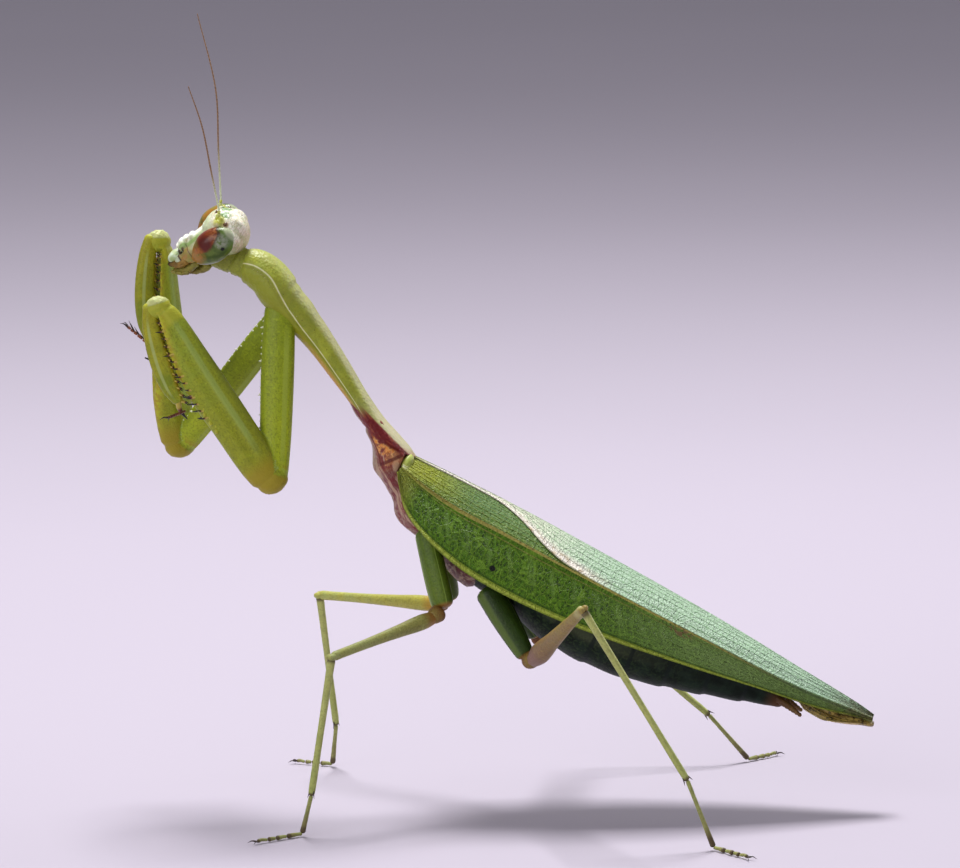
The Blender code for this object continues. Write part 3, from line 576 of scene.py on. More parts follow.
def limb_look(name, base, tip, speckle=0.5, bands=(), stripe=None, edge=None):
    """Skin of a leg: its colour drifts down the joint, with fine grain, specks, stripes and tinted ends."""
    look = Look(name, Roughness=0.42, Subsurface_Weight=0.05, Subsurface_Scale=0.0005, Specular_IOR_Level=0.3)
    share, upward, across = look.attribute("share"), look.attribute("upward"), look.attribute("across")
    place = look.place()
    look.colour = look.mix(share.step(0.1, 0.9), base, tip)
    look.coat(look.noise(place, 0.9, 3.0).step(0.35, 0.7) * 0.7, shade(base, 1.25))
    look.coat(look.noise(place, 4.5, 4.0, 0.65).step(0.48, 0.64) * 0.5, shade(base, 0.55))
    look.coat(look.noise(place, 3.1, 4.0, 0.65).step(0.54, 0.68) * 0.35, shade(tip, 1.45))
    if stripe:
        line = upward.band(stripe[0], 0.22) * share.step(0.1, 0.3) * (1 - share.step(0.8, 0.98))
        look.coat(line * 0.65, stripe[1])
        look.coat(across.band(-0.2, 0.5) * upward.step(-0.2, -0.9) * 0.4, shade(base, 0.7))
    if edge:
        side, front, tone = edge
        facet = upward * front + across * side
        look.coat(facet.step(-0.36, -0.46) * 0.4, shade(base, 0.45))
        look.coat(facet.band(-0.38, 0.045) * 0.7, tone)
        look.coat(facet.step(0.84, 0.97) * 0.7, tone)
    specks = (1 - look.cells(place, 3.2).step(0.05, 0.12)) * look.noise(place, 1.7).step(0.45, 0.6) * speckle
    look.coat(specks, (0.07, 0.045, 0.015))
    for middle, width, tone in bands:
        look.coat(share.band(middle, width) * 0.85, tone)
    warm = look.mix(look.noise(place, 2.2).step(0.4, 0.6), (0.48, 0.47, 0.02), (0.40, 0.29, 0.02))
    look.coat(look.attribute("rim") * 0.9, warm)
    look.bump(look.noise(place, 7.0, 3.0), 0.03)
    look.bump(look.cells(place, 5.0), 0.02)
    rough = 0.34 + look.noise(place, 4.0) * 0.2
    return look.paint(Roughness=rough)


# --- body ---

# The trunk is pressed below the wings from this distance on, to this depth under their back until the lid's end.
WINGS_COVER_FROM, LID_DEPTH, LID_END = -0.2, 1.9, 44
# The pale line down both sides of the pronotum: how high it starts, how far it drops, and between which shares.
SIDE_LINE, SIDE_LINE_DROP, SIDE_LINE_BEND = 0.24, 0.42, (0.1, 0.37)
ABDOMEN_RINGS = 9.0


def back_at(along, across, depth=0.0):
    """A point of the wings' rounded back, or at a depth square under it."""
    ridge = outline(RIDGE_HALF_WIDTH, along)
    low, high = outline(RIDGE_HEIGHT, along), outline(CROWN_HEIGHT, along)
    slope = -2 * (high - low) * across / ridge ** 2
    upward = Vector((0.0, -slope, 1.0)).normalized()
    return Vector((along, across, low + (high - low) * (1 - (across / ridge) ** 2))) - upward * depth


def side_field(along, share, sign):
    """The wing's outer field, from the ridge down to the margin, a little bulged."""
    ridge, margin = outline(RIDGE_HALF_WIDTH, along), outline(MARGIN_HALF_WIDTH, along)
    top, bottom = outline(RIDGE_HEIGHT, along), outline(MARGIN_HEIGHT, along)
    bulge = 0.06 * sin(pi * share) * (top - bottom)
    return Vector((along, sign * (ridge + (margin - ridge) * share + bulge), top + (bottom - top) * share))


def trunk_path(table):
    """Stations of a table that is measured from the wings' root."""
    return [(ROOT + Vector((x, 0.0, z)), wide, high) for x, z, wide, high in table]


def rear_path(table):
    """Stations of a table that is measured back along the wings."""
    return [(REAR @ Vector((along, 0.0, up)), wide, high) for along, up, wide, high in table]


def shell_edge():
    """The plane of the shell's slanting rear edge: a point of it and its normal, down and out of the shell."""
    tip, corner = (ROOT + Vector((x, 0.0, z)) for x, z in SHELL_END)
    return tip, (corner - tip).cross(Y).normalized()


def pronotum_relief(share, across, upward):
    """The raised middle line, the sharp rims along both sides, the cross groove and fine warts."""
    keel = 0.12 * exp(-((across / 0.10) ** 2)) * (upward > 0) * smooth_step(share, 0.1, 0.3)
    side_line = SIDE_LINE - SIDE_LINE_DROP * smooth_step(share, *SIDE_LINE_BEND)
    rim = 0.13 * bump_at(upward, side_line, 0.07) * smooth_step(share, 0.02, 0.08)
    groove = -0.16 * bump_at(share, 0.19, 0.012) * smooth_step(upward, -0.1, 0.4)
    lumps = 0.05 * sin(share * 50.0 + across * 2.0) * smooth_step(upward, -0.2, 0.5)
    lumps *= smooth_step(share, 0.15, 0.2) * (1 - smooth_step(share, 0.3, 0.4))
    below = -0.1 * smooth_step(-upward, 0.2, 0.8) * smooth_step(share, 0.26, 0.44)
    return keel + rim + groove + lumps + below


def pronotum_look():
    """Yellow green shell with a cream side line, a pale crown and a wine red rear edge."""
    tone = colours().pronotum
    look = Look("pronotum shell", Roughness=0.38, Subsurface_Weight=0.05, Subsurface_Scale=0.0006,
                Specular_IOR_Level=0.35)
    share, upward, across = look.attribute("share"), look.attribute("upward"), look.attribute("across")
    place = look.place()
    drift, blotch = look.noise(place, 0.5, 2.0), look.noise(place, 1.3, 3.0)
    look.colour = look.mix(drift.step(0.35, 0.7), shade(tone, 0.85), shade(tone, 1.15))
    look.coat(blotch.step(0.45, 0.65) * 0.35, (0.24, 0.30, 0.03))
    look.coat(look.noise(place, 4.5, 4.0, 0.65).step(0.5, 0.66) * 0.4, (0.19, 0.21, 0.012))
    # The underside darkened as painted shade, the pale crown and the mottled collar.
    collar = 1 - share.step(0.16, 0.24)
    # Painted shade: the underside of the shell made darker.
    look.coat(upward.step(-0.05, -0.6), (0.24, 0.25, 0.012))
    crown = upward.step(0.5, 0.95)
    look.coat(crown * 0.6, look.mix(share.step(0.1, 0.45), (0.44, 0.44, 0.16), (0.46, 0.42, 0.24)))
    look.coat(collar * blotch.step(0.35, 0.6) * 0.4, (0.33, 0.37, 0.05))
    # The cream line down both sides, and the shade below it.
    line = upward - (SIDE_LINE - share.step(*SIDE_LINE_BEND) * SIDE_LINE_DROP)
    look.coat(line.band(0.0, 0.05) * 0.9, (0.72, 0.72, 0.40))
    look.coat(line.band(-0.16, 0.12) * 0.6, (0.20, 0.21, 0.01))
    look.coat((1 - line.step(-0.3, -0.05)) * 0.55, (0.27, 0.29, 0.015))
    look.coat(share.step(0.3, 0.5) * (1 - line.step(-0.6, -0.1)) * 0.5, (0.42, 0.44, 0.02))
    # Orange below, dark dots above, the cross groove and the pale rear.
    under = share.step(0.30, 0.52) * upward.step(-0.3, -0.75)
    look.coat(under * 0.85, (0.52, 0.27, 0.02))
    dots = (1 - look.cells(place, 1.7).step(0.05, 0.11)) * upward.step(-0.3, 0.1)
    look.coat(dots * 0.85, (0.07, 0.03, 0.01))
    look.coat(share.band(0.195, 0.014) * upward.step(-0.1, 0.3) * 0.3, (0.20, 0.22, 0.03))
    look.coat(share.step(0.62, 0.86) * upward.step(-0.6, 0.3) * 0.6, (0.58, 0.52, 0.34))
    tip, normal = shell_edge()
    # The brown rear edge, and the wine red skin that it borders.
    inwards = 0 - look.along(look.place(shift=tip), normal)
    look.coat((1 - inwards.step(0.1, 0.55)) * 0.6, (0.52, 0.30, 0.16))
    membrane = look.along(look.place(shift=tip), Vector((-4.75, 0.0, -4.6)).normalized())
    streaks = look.noise(look.join(share * 14.0, upward * 3.0, across), 1.0, 3.0)
    wine = look.mix(streaks.step(0.5, 0.62) * 0.6, WINE, (0.32, 0.08, 0.03))
    rear = share.step(0.68, 0.75)
    look.coat(membrane.step(-0.05, 0.1) * rear * upward.step(-0.97, -0.88), wine)
    look.coat(1 - inwards.step(0.02, 0.12), (0.16, 0.006, 0.006))
    look.bump(look.cells(place, 3.0), 0.05)
    look.bump(look.noise(place, 6.0, 3.0), 0.03)
    return look.paint(Roughness=0.32 + look.noise(place, 3.0) * 0.22)


def denticles(stations, side_sign, count, low, high, size):
    """Small teeth down one side of the pronotum, between two shares of its length."""
    parts = []
    rings = course(stations, 60, (0, 0))
    for i in range(count):
        share = low + (high - low) * i / (count - 1)
        spot = min(range(len(rings)), key=lambda k: abs(rings[k][0] - share))
        _, point, wide, deep = rings[spot]
        along = (rings[min(spot + 1, len(rings) - 1)][1] - rings[max(spot - 1, 0)][1]).normalized()
        up = Y.cross(along).normalized() * -1
        up = up if up.z > 0 else -up
        root = point + Y * side_sign * wide * 0.94 + up * deep * 0.05
        parts.append(thorn(root, root + Y * side_sign * size + along * size * 0.3, size * 0.55))
    return parts


def thorax_relief(share, across, upward):
    """Swollen plates down the front of the thorax, parted by folds."""
    plate = abs(sin((share + 0.06 * sin(share * 9.0)) * pi * 4.6))
    swell = (0.34 * plate ** 0.6 - 0.2) * smooth_step(-upward, -0.5, 0.6)
    swell += 0.16 * noise.noise(Vector((share * 14, across * 1.6, upward * 1.6)))
    fold = -0.12 * bump_at(share, 0.25 + 0.1 * upward, 0.02) - 0.12 * bump_at(share, 0.44 - 0.08 * upward, 0.02)
    return (swell + fold) * smooth_step(share, 0.03, 0.12)


def thorax_look():
    """Purplish red skin with tan streaks, an orange patch in front and dark seams."""
    tone = colours().rose
    look = Look("thorax skin", Roughness=0.4, Subsurface_Weight=0.06, Subsurface_Scale=0.0005,
                Specular_IOR_Level=0.35)
    share, across, upward = look.attribute("share"), look.attribute("across"), look.attribute("upward")
    place = look.place()
    mottle, fine = look.noise(place, 0.9, 4.0, 0.6), look.noise(place, 2.3, 3.0)
    look.colour = look.mix(mottle.step(0.42, 0.6), tone, (0.22, 0.09, 0.07))
    # Tan streaks with dark edges.
    streaks = look.noise(look.join(share * 9.0, upward * 3.2, across * 1.5), 1.0, 4.0, 0.6)
    look.coat(streaks.step(0.52, 0.60) * 0.7, (0.54, 0.37, 0.24))
    look.coat(streaks.band(0.44, 0.03) * 0.8, (0.15, 0.012, 0.014))
    # The orange patch at the front, with dark spots.
    front = 1 - share.step(0.28, 0.4)
    patch = front * mottle.step(0.36, 0.5) * upward.step(-0.75, -0.3)
    look.coat(patch, look.mix(fine.step(0.35, 0.6), (0.80, 0.28, 0.04), (0.86, 0.48, 0.16)))
    look.coat(fine.step(0.5, 0.6) * front * 0.8, (0.20, 0.010, 0.008))
    # The pale underside and the dark seams.
    belly = upward.step(-0.55, -0.85)
    look.coat(belly * fine.step(0.4, 0.6) * 0.7, (0.40, 0.30, 0.20))
    seam = share.band(0.34, 0.012) * upward.step(-0.9, -0.3) + upward.band(-0.55, 0.08) * front
    look.coat(seam * 0.85, (0.10, 0.006, 0.006))
    look.coat(share.step(0.72, 0.8) * 0.8, look.mix(fine.step(0.5, 0.62), (0.10, 0.03, 0.025), (0.30, 0.20, 0.12)))
    tip, normal = shell_edge()
    # Wine red in the shade of the shell.
    behind = look.along(look.place(shift=tip), normal)
    shadow = share.step(0.17, 0.24)
    reach = behind.step(0.45, 0.8) * (1 - shadow) + behind.step(0.15, 0.45) * shadow
    wine = look.mix(streaks.step(0.5, 0.62) * 0.6, WINE, (0.30, 0.05, 0.03))
    look.coat((1 - reach) * 0.95, wine)
    look.coat(upward.step(-0.7, -0.9) * (1 - share.step(0.3, 0.4)) * 0.7, (0.42, 0.32, 0.22))
    look.bump(look.noise(place, 2.4, 4.0), 0.16)
    look.bump(streaks, 0.12)
    return look.paint(Roughness=0.3 + mottle * 0.3)


def abdomen_relief(share, across, upward):
    """Nine rings, each a little proud of the next, with a fold along both sides."""
    ring = (share * ABDOMEN_RINGS) % 1.0
    step = 0.16 * smooth_step(ring, 0.0, 0.8) * (1 - smooth_step(ring, 0.86, 1.0))
    fold = -0.25 * exp(-(((upward + 0.05) / 0.12) ** 2))
    return (step + fold) * smooth_step(1 - share, 0.0, 0.1)


def abdomen_look():
    """Nearly black green skin, with a darker line where each ring ends."""
    tone = colours().abdomen
    look = Look("abdomen skin", Roughness=0.55, Specular_IOR_Level=0.12)
    share, upward = look.attribute("share"), look.attribute("upward")
    place = look.place()
    ring = (share * ABDOMEN_RINGS).fract()
    look.colour = look.mix(look.noise(place, 0.8, 3.0).step(0.35, 0.65), tone, shade(tone, 2.4))
    look.coat(look.noise(place, 3.5, 4.0).step(0.5, 0.6) * (1 - share.step(0.4, 0.9)) * 0.6, (0.035, 0.06, 0.02))
    look.coat(upward.band(-0.05, 0.35) * (1 - share.step(0.3, 0.75)) * 0.5, (0.12, 0.14, 0.07))
    look.coat(ring.band(0.94, 0.08) * 0.7, (0.008, 0.014, 0.012))
    look.coat(share.step(0.93, 0.98), (0.09, 0.04, 0.015))
    look.bump(look.noise(place, 5.0, 3.0), 0.04)
    return look.paint(Roughness=0.42 + look.noise(place, 2.0) * 0.25)


def cercus_relief(share, across, upward):
    """The nine beads of a tail feeler."""
    return 0.05 * abs(sin(share * pi * 9))


def press_under_wings(bm):
    """Keeps a skin below the folded wings."""
    back = REAR.inverted()
    for corner in bm.verts:
        spot = back @ corner.co
        if spot.x > WINGS_COVER_FROM:
            covered = min(max(spot.x, 0.0), WING_LENGTH)
            lid = back_at(covered, spot.y, LID_DEPTH).z if covered < LID_END else 0.0
            if spot.z > lid:
                corner.co = REAR @ Vector((spot.x, spot.y, lid))


def shell_skin():
    """The pronotum, cut off along its slanting rear edge, with small teeth down both sides of its front."""
    shell = trunk_path(PROTHORAX)
    hull = loft(shell, Y, sides=48, count=120, ends=(0.5, 0.15), relief=pronotum_relief)
    tip, normal = shell_edge()
    geometry = hull.verts[:] + hull.edges[:] + hull.faces[:]
    bmesh.ops.bisect_plane(hull, geom=geometry, dist=1e-5, plane_co=tip, plane_no=normal, clear_outer=True)
    bmesh.ops.holes_fill(hull, edges=[edge for edge in hull.edges if edge.is_boundary])
    bmesh.ops.recalc_face_normals(hull, faces=hull.faces)
    return gather([hull] + [tooth for sign in (-1, 1) for tooth in denticles(shell, sign, 16, 0.05, 0.29, 0.17)])


def chest_skin():
    """The thorax and, in slot 1, the straps that carry the wings."""
    chest = loft(trunk_path(THORAX), Y, sides=48, count=110, ends=(0.2, 1.0), relief=thorax_relief)
    press_under_wings(chest)
    parts = [chest]
    for sign in (-1, 1):
        points = [ROOT + Vector((x, sign * y, z)) for x, y, z, _ in WING_STRAP]
        parts.append(tube(points, [row[3] for row in WING_STRAP], Z, sides=20, count=30, ends=(0.3, 0.3), slot=1))
    return gather(parts)


def belly_skin():
    """The abdomen and, in slot 1, its two tail feelers."""
    belly = loft(rear_path(ABDOMEN), Y, sides=40, count=150, ends=(1.5, 0.5), relief=abdomen_relief)
    press_under_wings(belly)
    parts = [belly]
    for sign in (-1, 1):
        root, tip = (REAR @ Vector((x, sign * y, z)) for x, y, z in CERCUS)
        stations = [(root, 0.3, 0.3), (root.lerp(tip, 0.45) + Z * 0.1, 0.33, 0.33), (tip, 0.14, 0.14)]
        parts.append(loft(stations, Y, sides=12, count=50, ends=(0.2, 0.2), slot=1, relief=cercus_relief))
    return gather(parts)


class MANTIS_OT_body(bpy.types.Operator):
    """Builds the neck shield, the thorax, the abdomen and its two tail feelers"""

    bl_idname = "mantis.body"
    bl_label = "Body"

    def execute(self, context):
        finish_piece("pronotum_shell", shell_skin(), [pronotum_look()], ["pronotum"])
        strap = limb_look("wing hinge", (0.44, 0.48, 0.12), (0.27, 0.33, 0.03), 0.2)
        finish_piece("thorax", chest_skin(), [thorax_look(), strap], ["mesothorax", "metathorax"])
        cercus = limb_look("cercus", (0.10, 0.045, 0.014), (0.18, 0.10, 0.03), 0.2)
        nodes = ["abdomen", "cercus_left", "cercus_right"]
        finish_piece("abdomen_skin", belly_skin(), [abdomen_look(), cercus], nodes)
        return {"FINISHED"}


# --- wings ---

WING_STACK = 0.36  # how far the lower wing's back lies under the upper wing's
HINDWING_DEPTH = 1.7  # how far a hindwing lies under the back
HINDWING_INSET = 1.7  # how much narrower than the back it is
HINDWING_ROUNDED, HINDWING_TIP = 50.5, WING_LENGTH + 0.35  # where its outline rounds off, and where it ends
BACK_SHARE = 0.6  # the share of a forewing's width that lies on the back, the rest being its outer field
MAIN_VEIN = 0.6025  # the share at which its main vein runs
FIELD_DEPTH = 6.0  # how deep the finishes take the outer field to be
# Where the upper wing's inner edge crosses the back, from the midline to the lower wing's main vein.
INNER_EDGE = ((0, 0.3), (6, 0.35), (9.8, 0.1), (12.6, -1.7), (15.2, -3.75), (17.2, -4.85), (19, -5.4), (22, -5.7))
BACK_VEINS, VEIN_SPACING = 11, 0.085


def inner_edge_at(along):
    """Where the upper wing's inner edge lies across the back."""
    ridge = outline(RIDGE_HALF_WIDTH, along)
    return max(0.3 - ridge, outline(INNER_EDGE, along)) if along < 22 else 0.3 - ridge


def right_wing_at(along, share):
    """A point of the upper wing, whose shares cross the back and then hang down the side."""
    if share > BACK_SHARE:
        return side_field(along, (share - BACK_SHARE) / (1 - BACK_SHARE), 1)
    ridge, inner = outline(RIDGE_HALF_WIDTH, along), inner_edge_at(along)
    reach = (ridge - inner) * share / BACK_SHARE
    return back_at(along, inner + reach, 0.2 * (1 - smooth_step(reach, 0.0, 1.3)))


def left_wing_at(along, share):
    """A point of the lower wing, whose inner part passes under the upper wing."""
    if share > BACK_SHARE:
        return side_field(along, (share - BACK_SHARE) / (1 - BACK_SHARE), -1)
    ridge = outline(RIDGE_HALF_WIDTH, along)
    t = share / BACK_SHARE
    return back_at(along, 0.35 * ridge - 1.35 * ridge * t, WING_STACK * (1 - smooth_step(t, 0.965, 1.0)))


def hindwing_at(along, share, sign):
    """A point of a folded hindwing, pleated, which shows below the forewings' tips."""
    covered = min(along, WING_LENGTH)
    beyond = max(along - HINDWING_ROUNDED, 0.0)
    rounded = sqrt(max(1 - beyond ** 2 / (HINDWING_TIP - HINDWING_ROUNDED) ** 2, 0.02))
    reach = max(outline(RIDGE_HALF_WIDTH, covered) - HINDWING_INSET, 1.2) * rounded
    across = 0.25 + (reach - 0.25) * share
    droop = 1.35 * smooth_step(along, 44.4, 47.2) * (1 - 0.55 * smooth_step(along, 48.5, 51.5))
    droop *= 1 - smooth_step(along, 51.0, 54.5)
    lift = 0.7 * smooth_step(along, 50.0, 53.5)
    crown = back_at(covered, 0.0, HINDWING_DEPTH)
    fall = (outline(CROWN_HEIGHT, covered) - outline(RIDGE_HEIGHT, covered)) / max(reach + HINDWING_INSET, 2.4) ** 2
    pleat = 0.06 * sin(share * 44.0)
    return Vector((along, sign * across, crown.z - fall * across ** 2 - droop * share ** 2 + lift + pleat))


def wing_veins(along, share):
    """How high the veins stand, as a share of the main vein, at a point of a forewing."""
    if share > BACK_SHARE:
        field = (share - BACK_SHARE) / (1 - BACK_SHARE)
        wide = 0.022 + 0.03 * (1 - smooth_step(along, 0.0, 16.0))
        radius = 1.3 * bump_at(field, 0.006, wide) + 0.6 * bump_at(field, 0.125, 0.012)
        return radius + 1.6 * smooth_step(field, 0.905, 0.93)
    inner = share / BACK_SHARE
    height = bump_at(inner, 0.99, 0.01)
    for i in range(1, BACK_VEINS):
        height += 0.5 * bump_at(inner, 1.0 - VEIN_SPACING * i, 0.008)
    return height + 0.8 * bump_at(inner, 0.0, 0.02)


def draw_wing(point_at, columns, rows, start, end, sign):
    """A wing as a grid laid on its surface, with its veins raised."""
    bm = bmesh.new()
    along, span = (bm.verts.layers.float.new(name) for name in ("along", "span"))
    bmesh.ops.create_grid(bm, x_segments=columns, y_segments=rows, size=0.5)
    for corner in bm.verts:
        corner[along], corner[span] = start + (end - start) * (corner.co.x + 0.5), corner.co.y + 0.5
        corner.co = point_at(corner[along], corner[span])
    if sign < 0:
        bmesh.ops.reverse_faces(bm, faces=bm.faces)
    height = sizes().vein_height / MM
    raise_skin(bm, lambda v: height * wing_veins(v[along], v[span]) - height)
    return bm


def thicken(wing, thickness):
    """Gives a wing its thickness on the inner side."""
    wall = wing.modifiers.new("thickness", "SOLIDIFY")
    wall.thickness = thickness
    wall.offset = -1.0


def outer_field_colour(look, along, field, tone):
    """The netted green outer field, with pale branching streaks and cells drawn out to the margin."""
    green = colours().costal
    down = field * FIELD_DEPTH
    wander = look.noise(look.join(along, down), 0.9, 2.0)
    cells = look.walls(look.join(along * 2.9, down * 1.9), 0.9)
    large = look.walls(look.join(along * 1.3, down * 0.8), 0.9)
    dashes = look.noise(look.join(along * 3.4, down * 1.7), 1.0, 2.0)
    look.colour = look.mix(tone.step(0.3, 0.7), shade(green, 0.85), shade(green, 1.25))
    look.coat(dashes.step(0.48, 0.58) * 0.85, shade(green, 0.34))
    # The net, the streaks that slant through it, and the ribs at the margin.
    net = 1 - cells.step(0.02, 0.16)
    veins = 1 - large.step(0.0, 0.09)
    look.coat(net * 0.65, (0.13, 0.27, 0.012))
    look.coat(veins * 0.7, (0.19, 0.35, 0.025))
    slant = (along * 0.88 - down * 0.47 + wander * 1.1) * 0.47
    streak = slant.fract().band(0.5, 0.16) * field.band(0.40, 0.34)
    look.coat(streak * 0.45, (0.17, 0.30, 0.05))
    ribs = (along * 2.6 + down * 0.5).fract().band(0.5, 0.4)
    look.coat(ribs * field.step(0.62, 0.9) * 0.35, shade(green, 1.9))
    look.coat(field.band(0.115, 0.05) * 0.4, shade(green, 1.6))
    look.coat(along.step(20.0, 40.0) * 0.65, (0.26, 0.39, 0.12))
    look.bump(net + veins * 1.5, 0.05)
    return look.colour


def back_colour(look, along, inner, left):
    """The long-veined back of a forewing, with rows of small cells between its veins."""
    cells = look.walls(look.join(inner * 34.0, along * 3.0), 0.85)
    net = 1 - cells.step(0.02, 0.15)
    row = inner * (1 / VEIN_SPACING)
    veins = row.fract().band(0.765, 0.13)
    if left:
        look.colour = look.mix(inner.step(0.55, 0.97), (0.10, 0.20, 0.06), (0.07, 0.14, 0.012))
        look.coat(net * 0.5, (0.17, 0.27, 0.06))
        look.coat(veins * 0.7, (0.18, 0.24, 0.03))
        look.coat((1 - along.step(1.0, 8.5)) * inner.band(0.55, 0.5) * 0.8, (0.38, 0.40, 0.01))
        dots = look.cells(look.join(inner * 30.0, along * 1.6), 1.0)
        look.coat((1 - dots.step(0.1, 0.3)) * (1 - along.step(8.0, 16.0)) * 0.6, (0.20, 0.20, 0.02))
    else:
        look.colour = look.mix(along.step(9.0, 24.0), (0.88, 0.84, 0.68), (0.47, 0.62, 0.46))
        look.coat(along.step(24.0, 50.0), (0.50, 0.68, 0.50))
        look.coat(net * 0.5, (0.17, 0.36, 0.14))
        look.coat(veins * 0.5, (0.14, 0.30, 0.11))
        grey = look.noise(look.join(along * 0.4, inner * 4.0), 1.0, 3.0).step(0.48, 0.62) * inner.band(0.86, 0.16)
        look.coat(grey * along.step(26.0, 34.0) * 0.6, (0.55, 0.52, 0.50))
        rim = (1 - inner.step(0.03, 0.12)) * (1 - along.step(20.0, 25.0))
        look.coat(rim * 0.9, (0.86, 0.78, 0.70))
        stain = rim * look.noise(look.join(along, inner * 20.0), 1.3, 3.0).step(0.5, 0.62) * along.step(8.0, 14.0)
        look.coat(stain * 0.7, (0.42, 0.30, 0.16))
    look.bump(net * 0.7 + veins, 0.05)
    return look.colour


def blot(look, along, field, where, reach, stretch=1.0):
    """1 within reach of a spot on the outer field, fading out round it."""
    spot = look.join(along * stretch, field * FIELD_DEPTH)
    return look.near(spot, (where[0] * stretch, where[1], 0.0), reach * 0.7, reach)


def wing_look(name, left):
    """The leathery forewing: a netted green outer field, tan main veins and a long-veined back."""
    hues = colours()
    look = Look(name, Roughness=0.42, Specular_IOR_Level=0.25)
    along, span = look.attribute("along"), look.attribute("span")
    field, inner = (span - BACK_SHARE) / (1 - BACK_SHARE), span / BACK_SHARE
    outer = span.step(BACK_SHARE - 0.0015, BACK_SHARE + 0.0015)
    tone = look.noise(look.place(), 0.35, 2.0)
    look.colour = look.mix(outer, back_colour(look, along, inner, left), outer_field_colour(look, along, field, tone))
    # The main vein with its crease, and the lines and the pale edge of the outer field.
    nearness = 1 - along.step(0.0, 18.0)
    vein = 1 - ((span - MAIN_VEIN).absolute() - nearness * 0.02).step(0.010, 0.015)
    tan = look.mix(along.step(32.0, 46.0), hues.vein, (0.13, 0.20, 0.07))
    look.coat(vein, look.mix(along.step(0.0, 14.0), (0.30, 0.29, 0.05), tan))
    crease = 1 - ((span - MAIN_VEIN).absolute() - nearness * 0.006).step(0.002, 0.005)
    look.coat(crease * nearness * 0.5, (0.20, 0.13, 0.02))
    look.coat(span.band(0.650, 0.006) * (1 - along.step(30.0, 42.0)) * 0.6, shade(hues.vein, 0.7))
    look.coat(span.band(0.948, 0.014) * 0.55, shade(hues.costal, 0.45))
    edge = look.mix(span.band(0.978, 0.014), (0.25, 0.33, 0.03), hues.margin)
    look.coat(span.step(0.954, 0.960), edge)
    look.coat(span.step(0.994, 0.998) * 0.7, (0.10, 0.13, 0.02))
    # The root and the tip, and the left wing's black spot and scar.
    look.coat((1 - along.step(0.6, 3.2)) * 0.85, (0.34, 0.37, 0.05))
    look.coat((1 - along.step(0.1, 0.9)) * (1 - span.step(0.5, 0.62)) * 0.8, (0.70, 0.70, 0.42))
    tip = along.step(47.0, 53.0) * look.noise(look.place(), 1.4, 3.0).step(0.3, 0.6)
    look.coat(tip * 0.8, (0.17, 0.14, 0.06))
    if left:
        look.coat(blot(look, along, field, (12.75, 4.0), 0.38), (0.004, 0.004, 0.003))
        scar = blot(look, along, field, (32.4, 0.75), 0.75, 0.45) * look.noise(look.place(), 3.0, 2.0).step(0.4, 0.55)
        look.coat(scar * 0.8, (0.22, 0.12, 0.06))
    look.bump(look.noise(look.place(), 2.0, 3.0), 0.04)
    return look.paint(Roughness=0.36 + tone * 0.12)


def hindwing_look():
    """Golden brown film with a net of dark veins and a few specks."""
    hue = colours().amber
    look = Look("hindwing film", Roughness=0.3)
    along, span = look.attribute("along"), look.attribute("span")
    cells = look.walls(look.join(along * 1.6, span * 14.0), 0.8)
    net = 1 - cells.step(0.0, 0.14)
    look.colour = look.mix(along.step(43.0, 50.0), (0.25, 0.22, 0.08), hue)
    look.coat(net * 0.8, (0.14, 0.08, 0.015))
    specks = look.noise(look.place(), 3.0, 2.0)
    look.coat(specks.step(0.56, 0.62) * 0.85, (0.04, 0.025, 0.008))
    look.coat(span.step(0.88, 0.95) * 0.6, (0.70, 0.52, 0.18))
    look.bump(net, 0.04)
    return look.paint(Alpha=0.82 + net * 0.18)


class MANTIS_OT_wings(bpy.types.Operator):
    """Builds the two leathery forewings and the folded hindwings"""

    bl_idname = "mantis.wings"
    bl_label = "Wings"

    def execute(self, context):
        thin = sizes().wing_thickness
        for side, sign, point_at in (("right", 1, right_wing_at), ("left", -1, left_wing_at)):
            bm = draw_wing(point_at, 260, 150, 0.0, WING_LENGTH, sign)
            look = wing_look("forewing " + side, sign < 0)
            thicken(finish_piece("tegmen_" + side, bm, [look], ["forewing_" + side], REAR), thin)
        film = hindwing_look()
        for side, sign in (("left", -1), ("right", 1)):
            bm = draw_wing(partial(hindwing_at, sign=sign), 120, 40, 8.0, WING_LENGTH + 0.3, sign)
            piece = finish_piece("hindwing_film_" + side, bm, [film], ["hindwing_" + side], REAR)
            thicken(piece, thin * 0.7)
        return {"FINISHED"}


# --- legs ---

FOOT_AXIS = 0.3  # how high the joints of a foot lie above the floor
FOOT_JOINTS = (0.0, 0.34, 0.58, 0.76, 1.0)  # where the four short joints of a foot meet
FORE_FOOT_JOINTS = (0.1, 0.42, 0.6, 0.73, 0.84, 0.97)  # where the five joints of a fore foot meet


def leg_joints(leg):
    """A leg's joints, from the hip out."""
    return [at(f"{leg}_{part}", *shares) for part, *shares in LEG_JOINTS[leg]]


def limb(start, end, table, side, slot, sides=24, count=40, ends=(0.5, 0.5), relief=None, reach=(0.0, 1.0)):
    """One joint of a leg from start to end, bowed as its table says."""
    shape = frame_of(end - start, side, start)
    length = (end - start).length
    stations = []
    for share, across, deep, bow in table:
        share = reach[0] + (reach[1] - reach[0]) * share
        stations.append((shape @ Vector((0.0, bow, share * length)), across, deep))
    return loft(stations, side, sides=sides, count=count, ends=ends, slot=slot, relief=relief)


def claws(tip, out, size, slot):
    """The two curved claws at the end of a foot."""
    side = Z.cross(out).normalized()
    made = []
    for sign in (-1, 1):
        root = tip + side * sign * 0.1
        point = root + out * size + side * sign * size * 0.55 - Z * 0.12
        made.append(thorn(root, point, 0.1, bend=Z * 0.14, slot=slot))
    return made


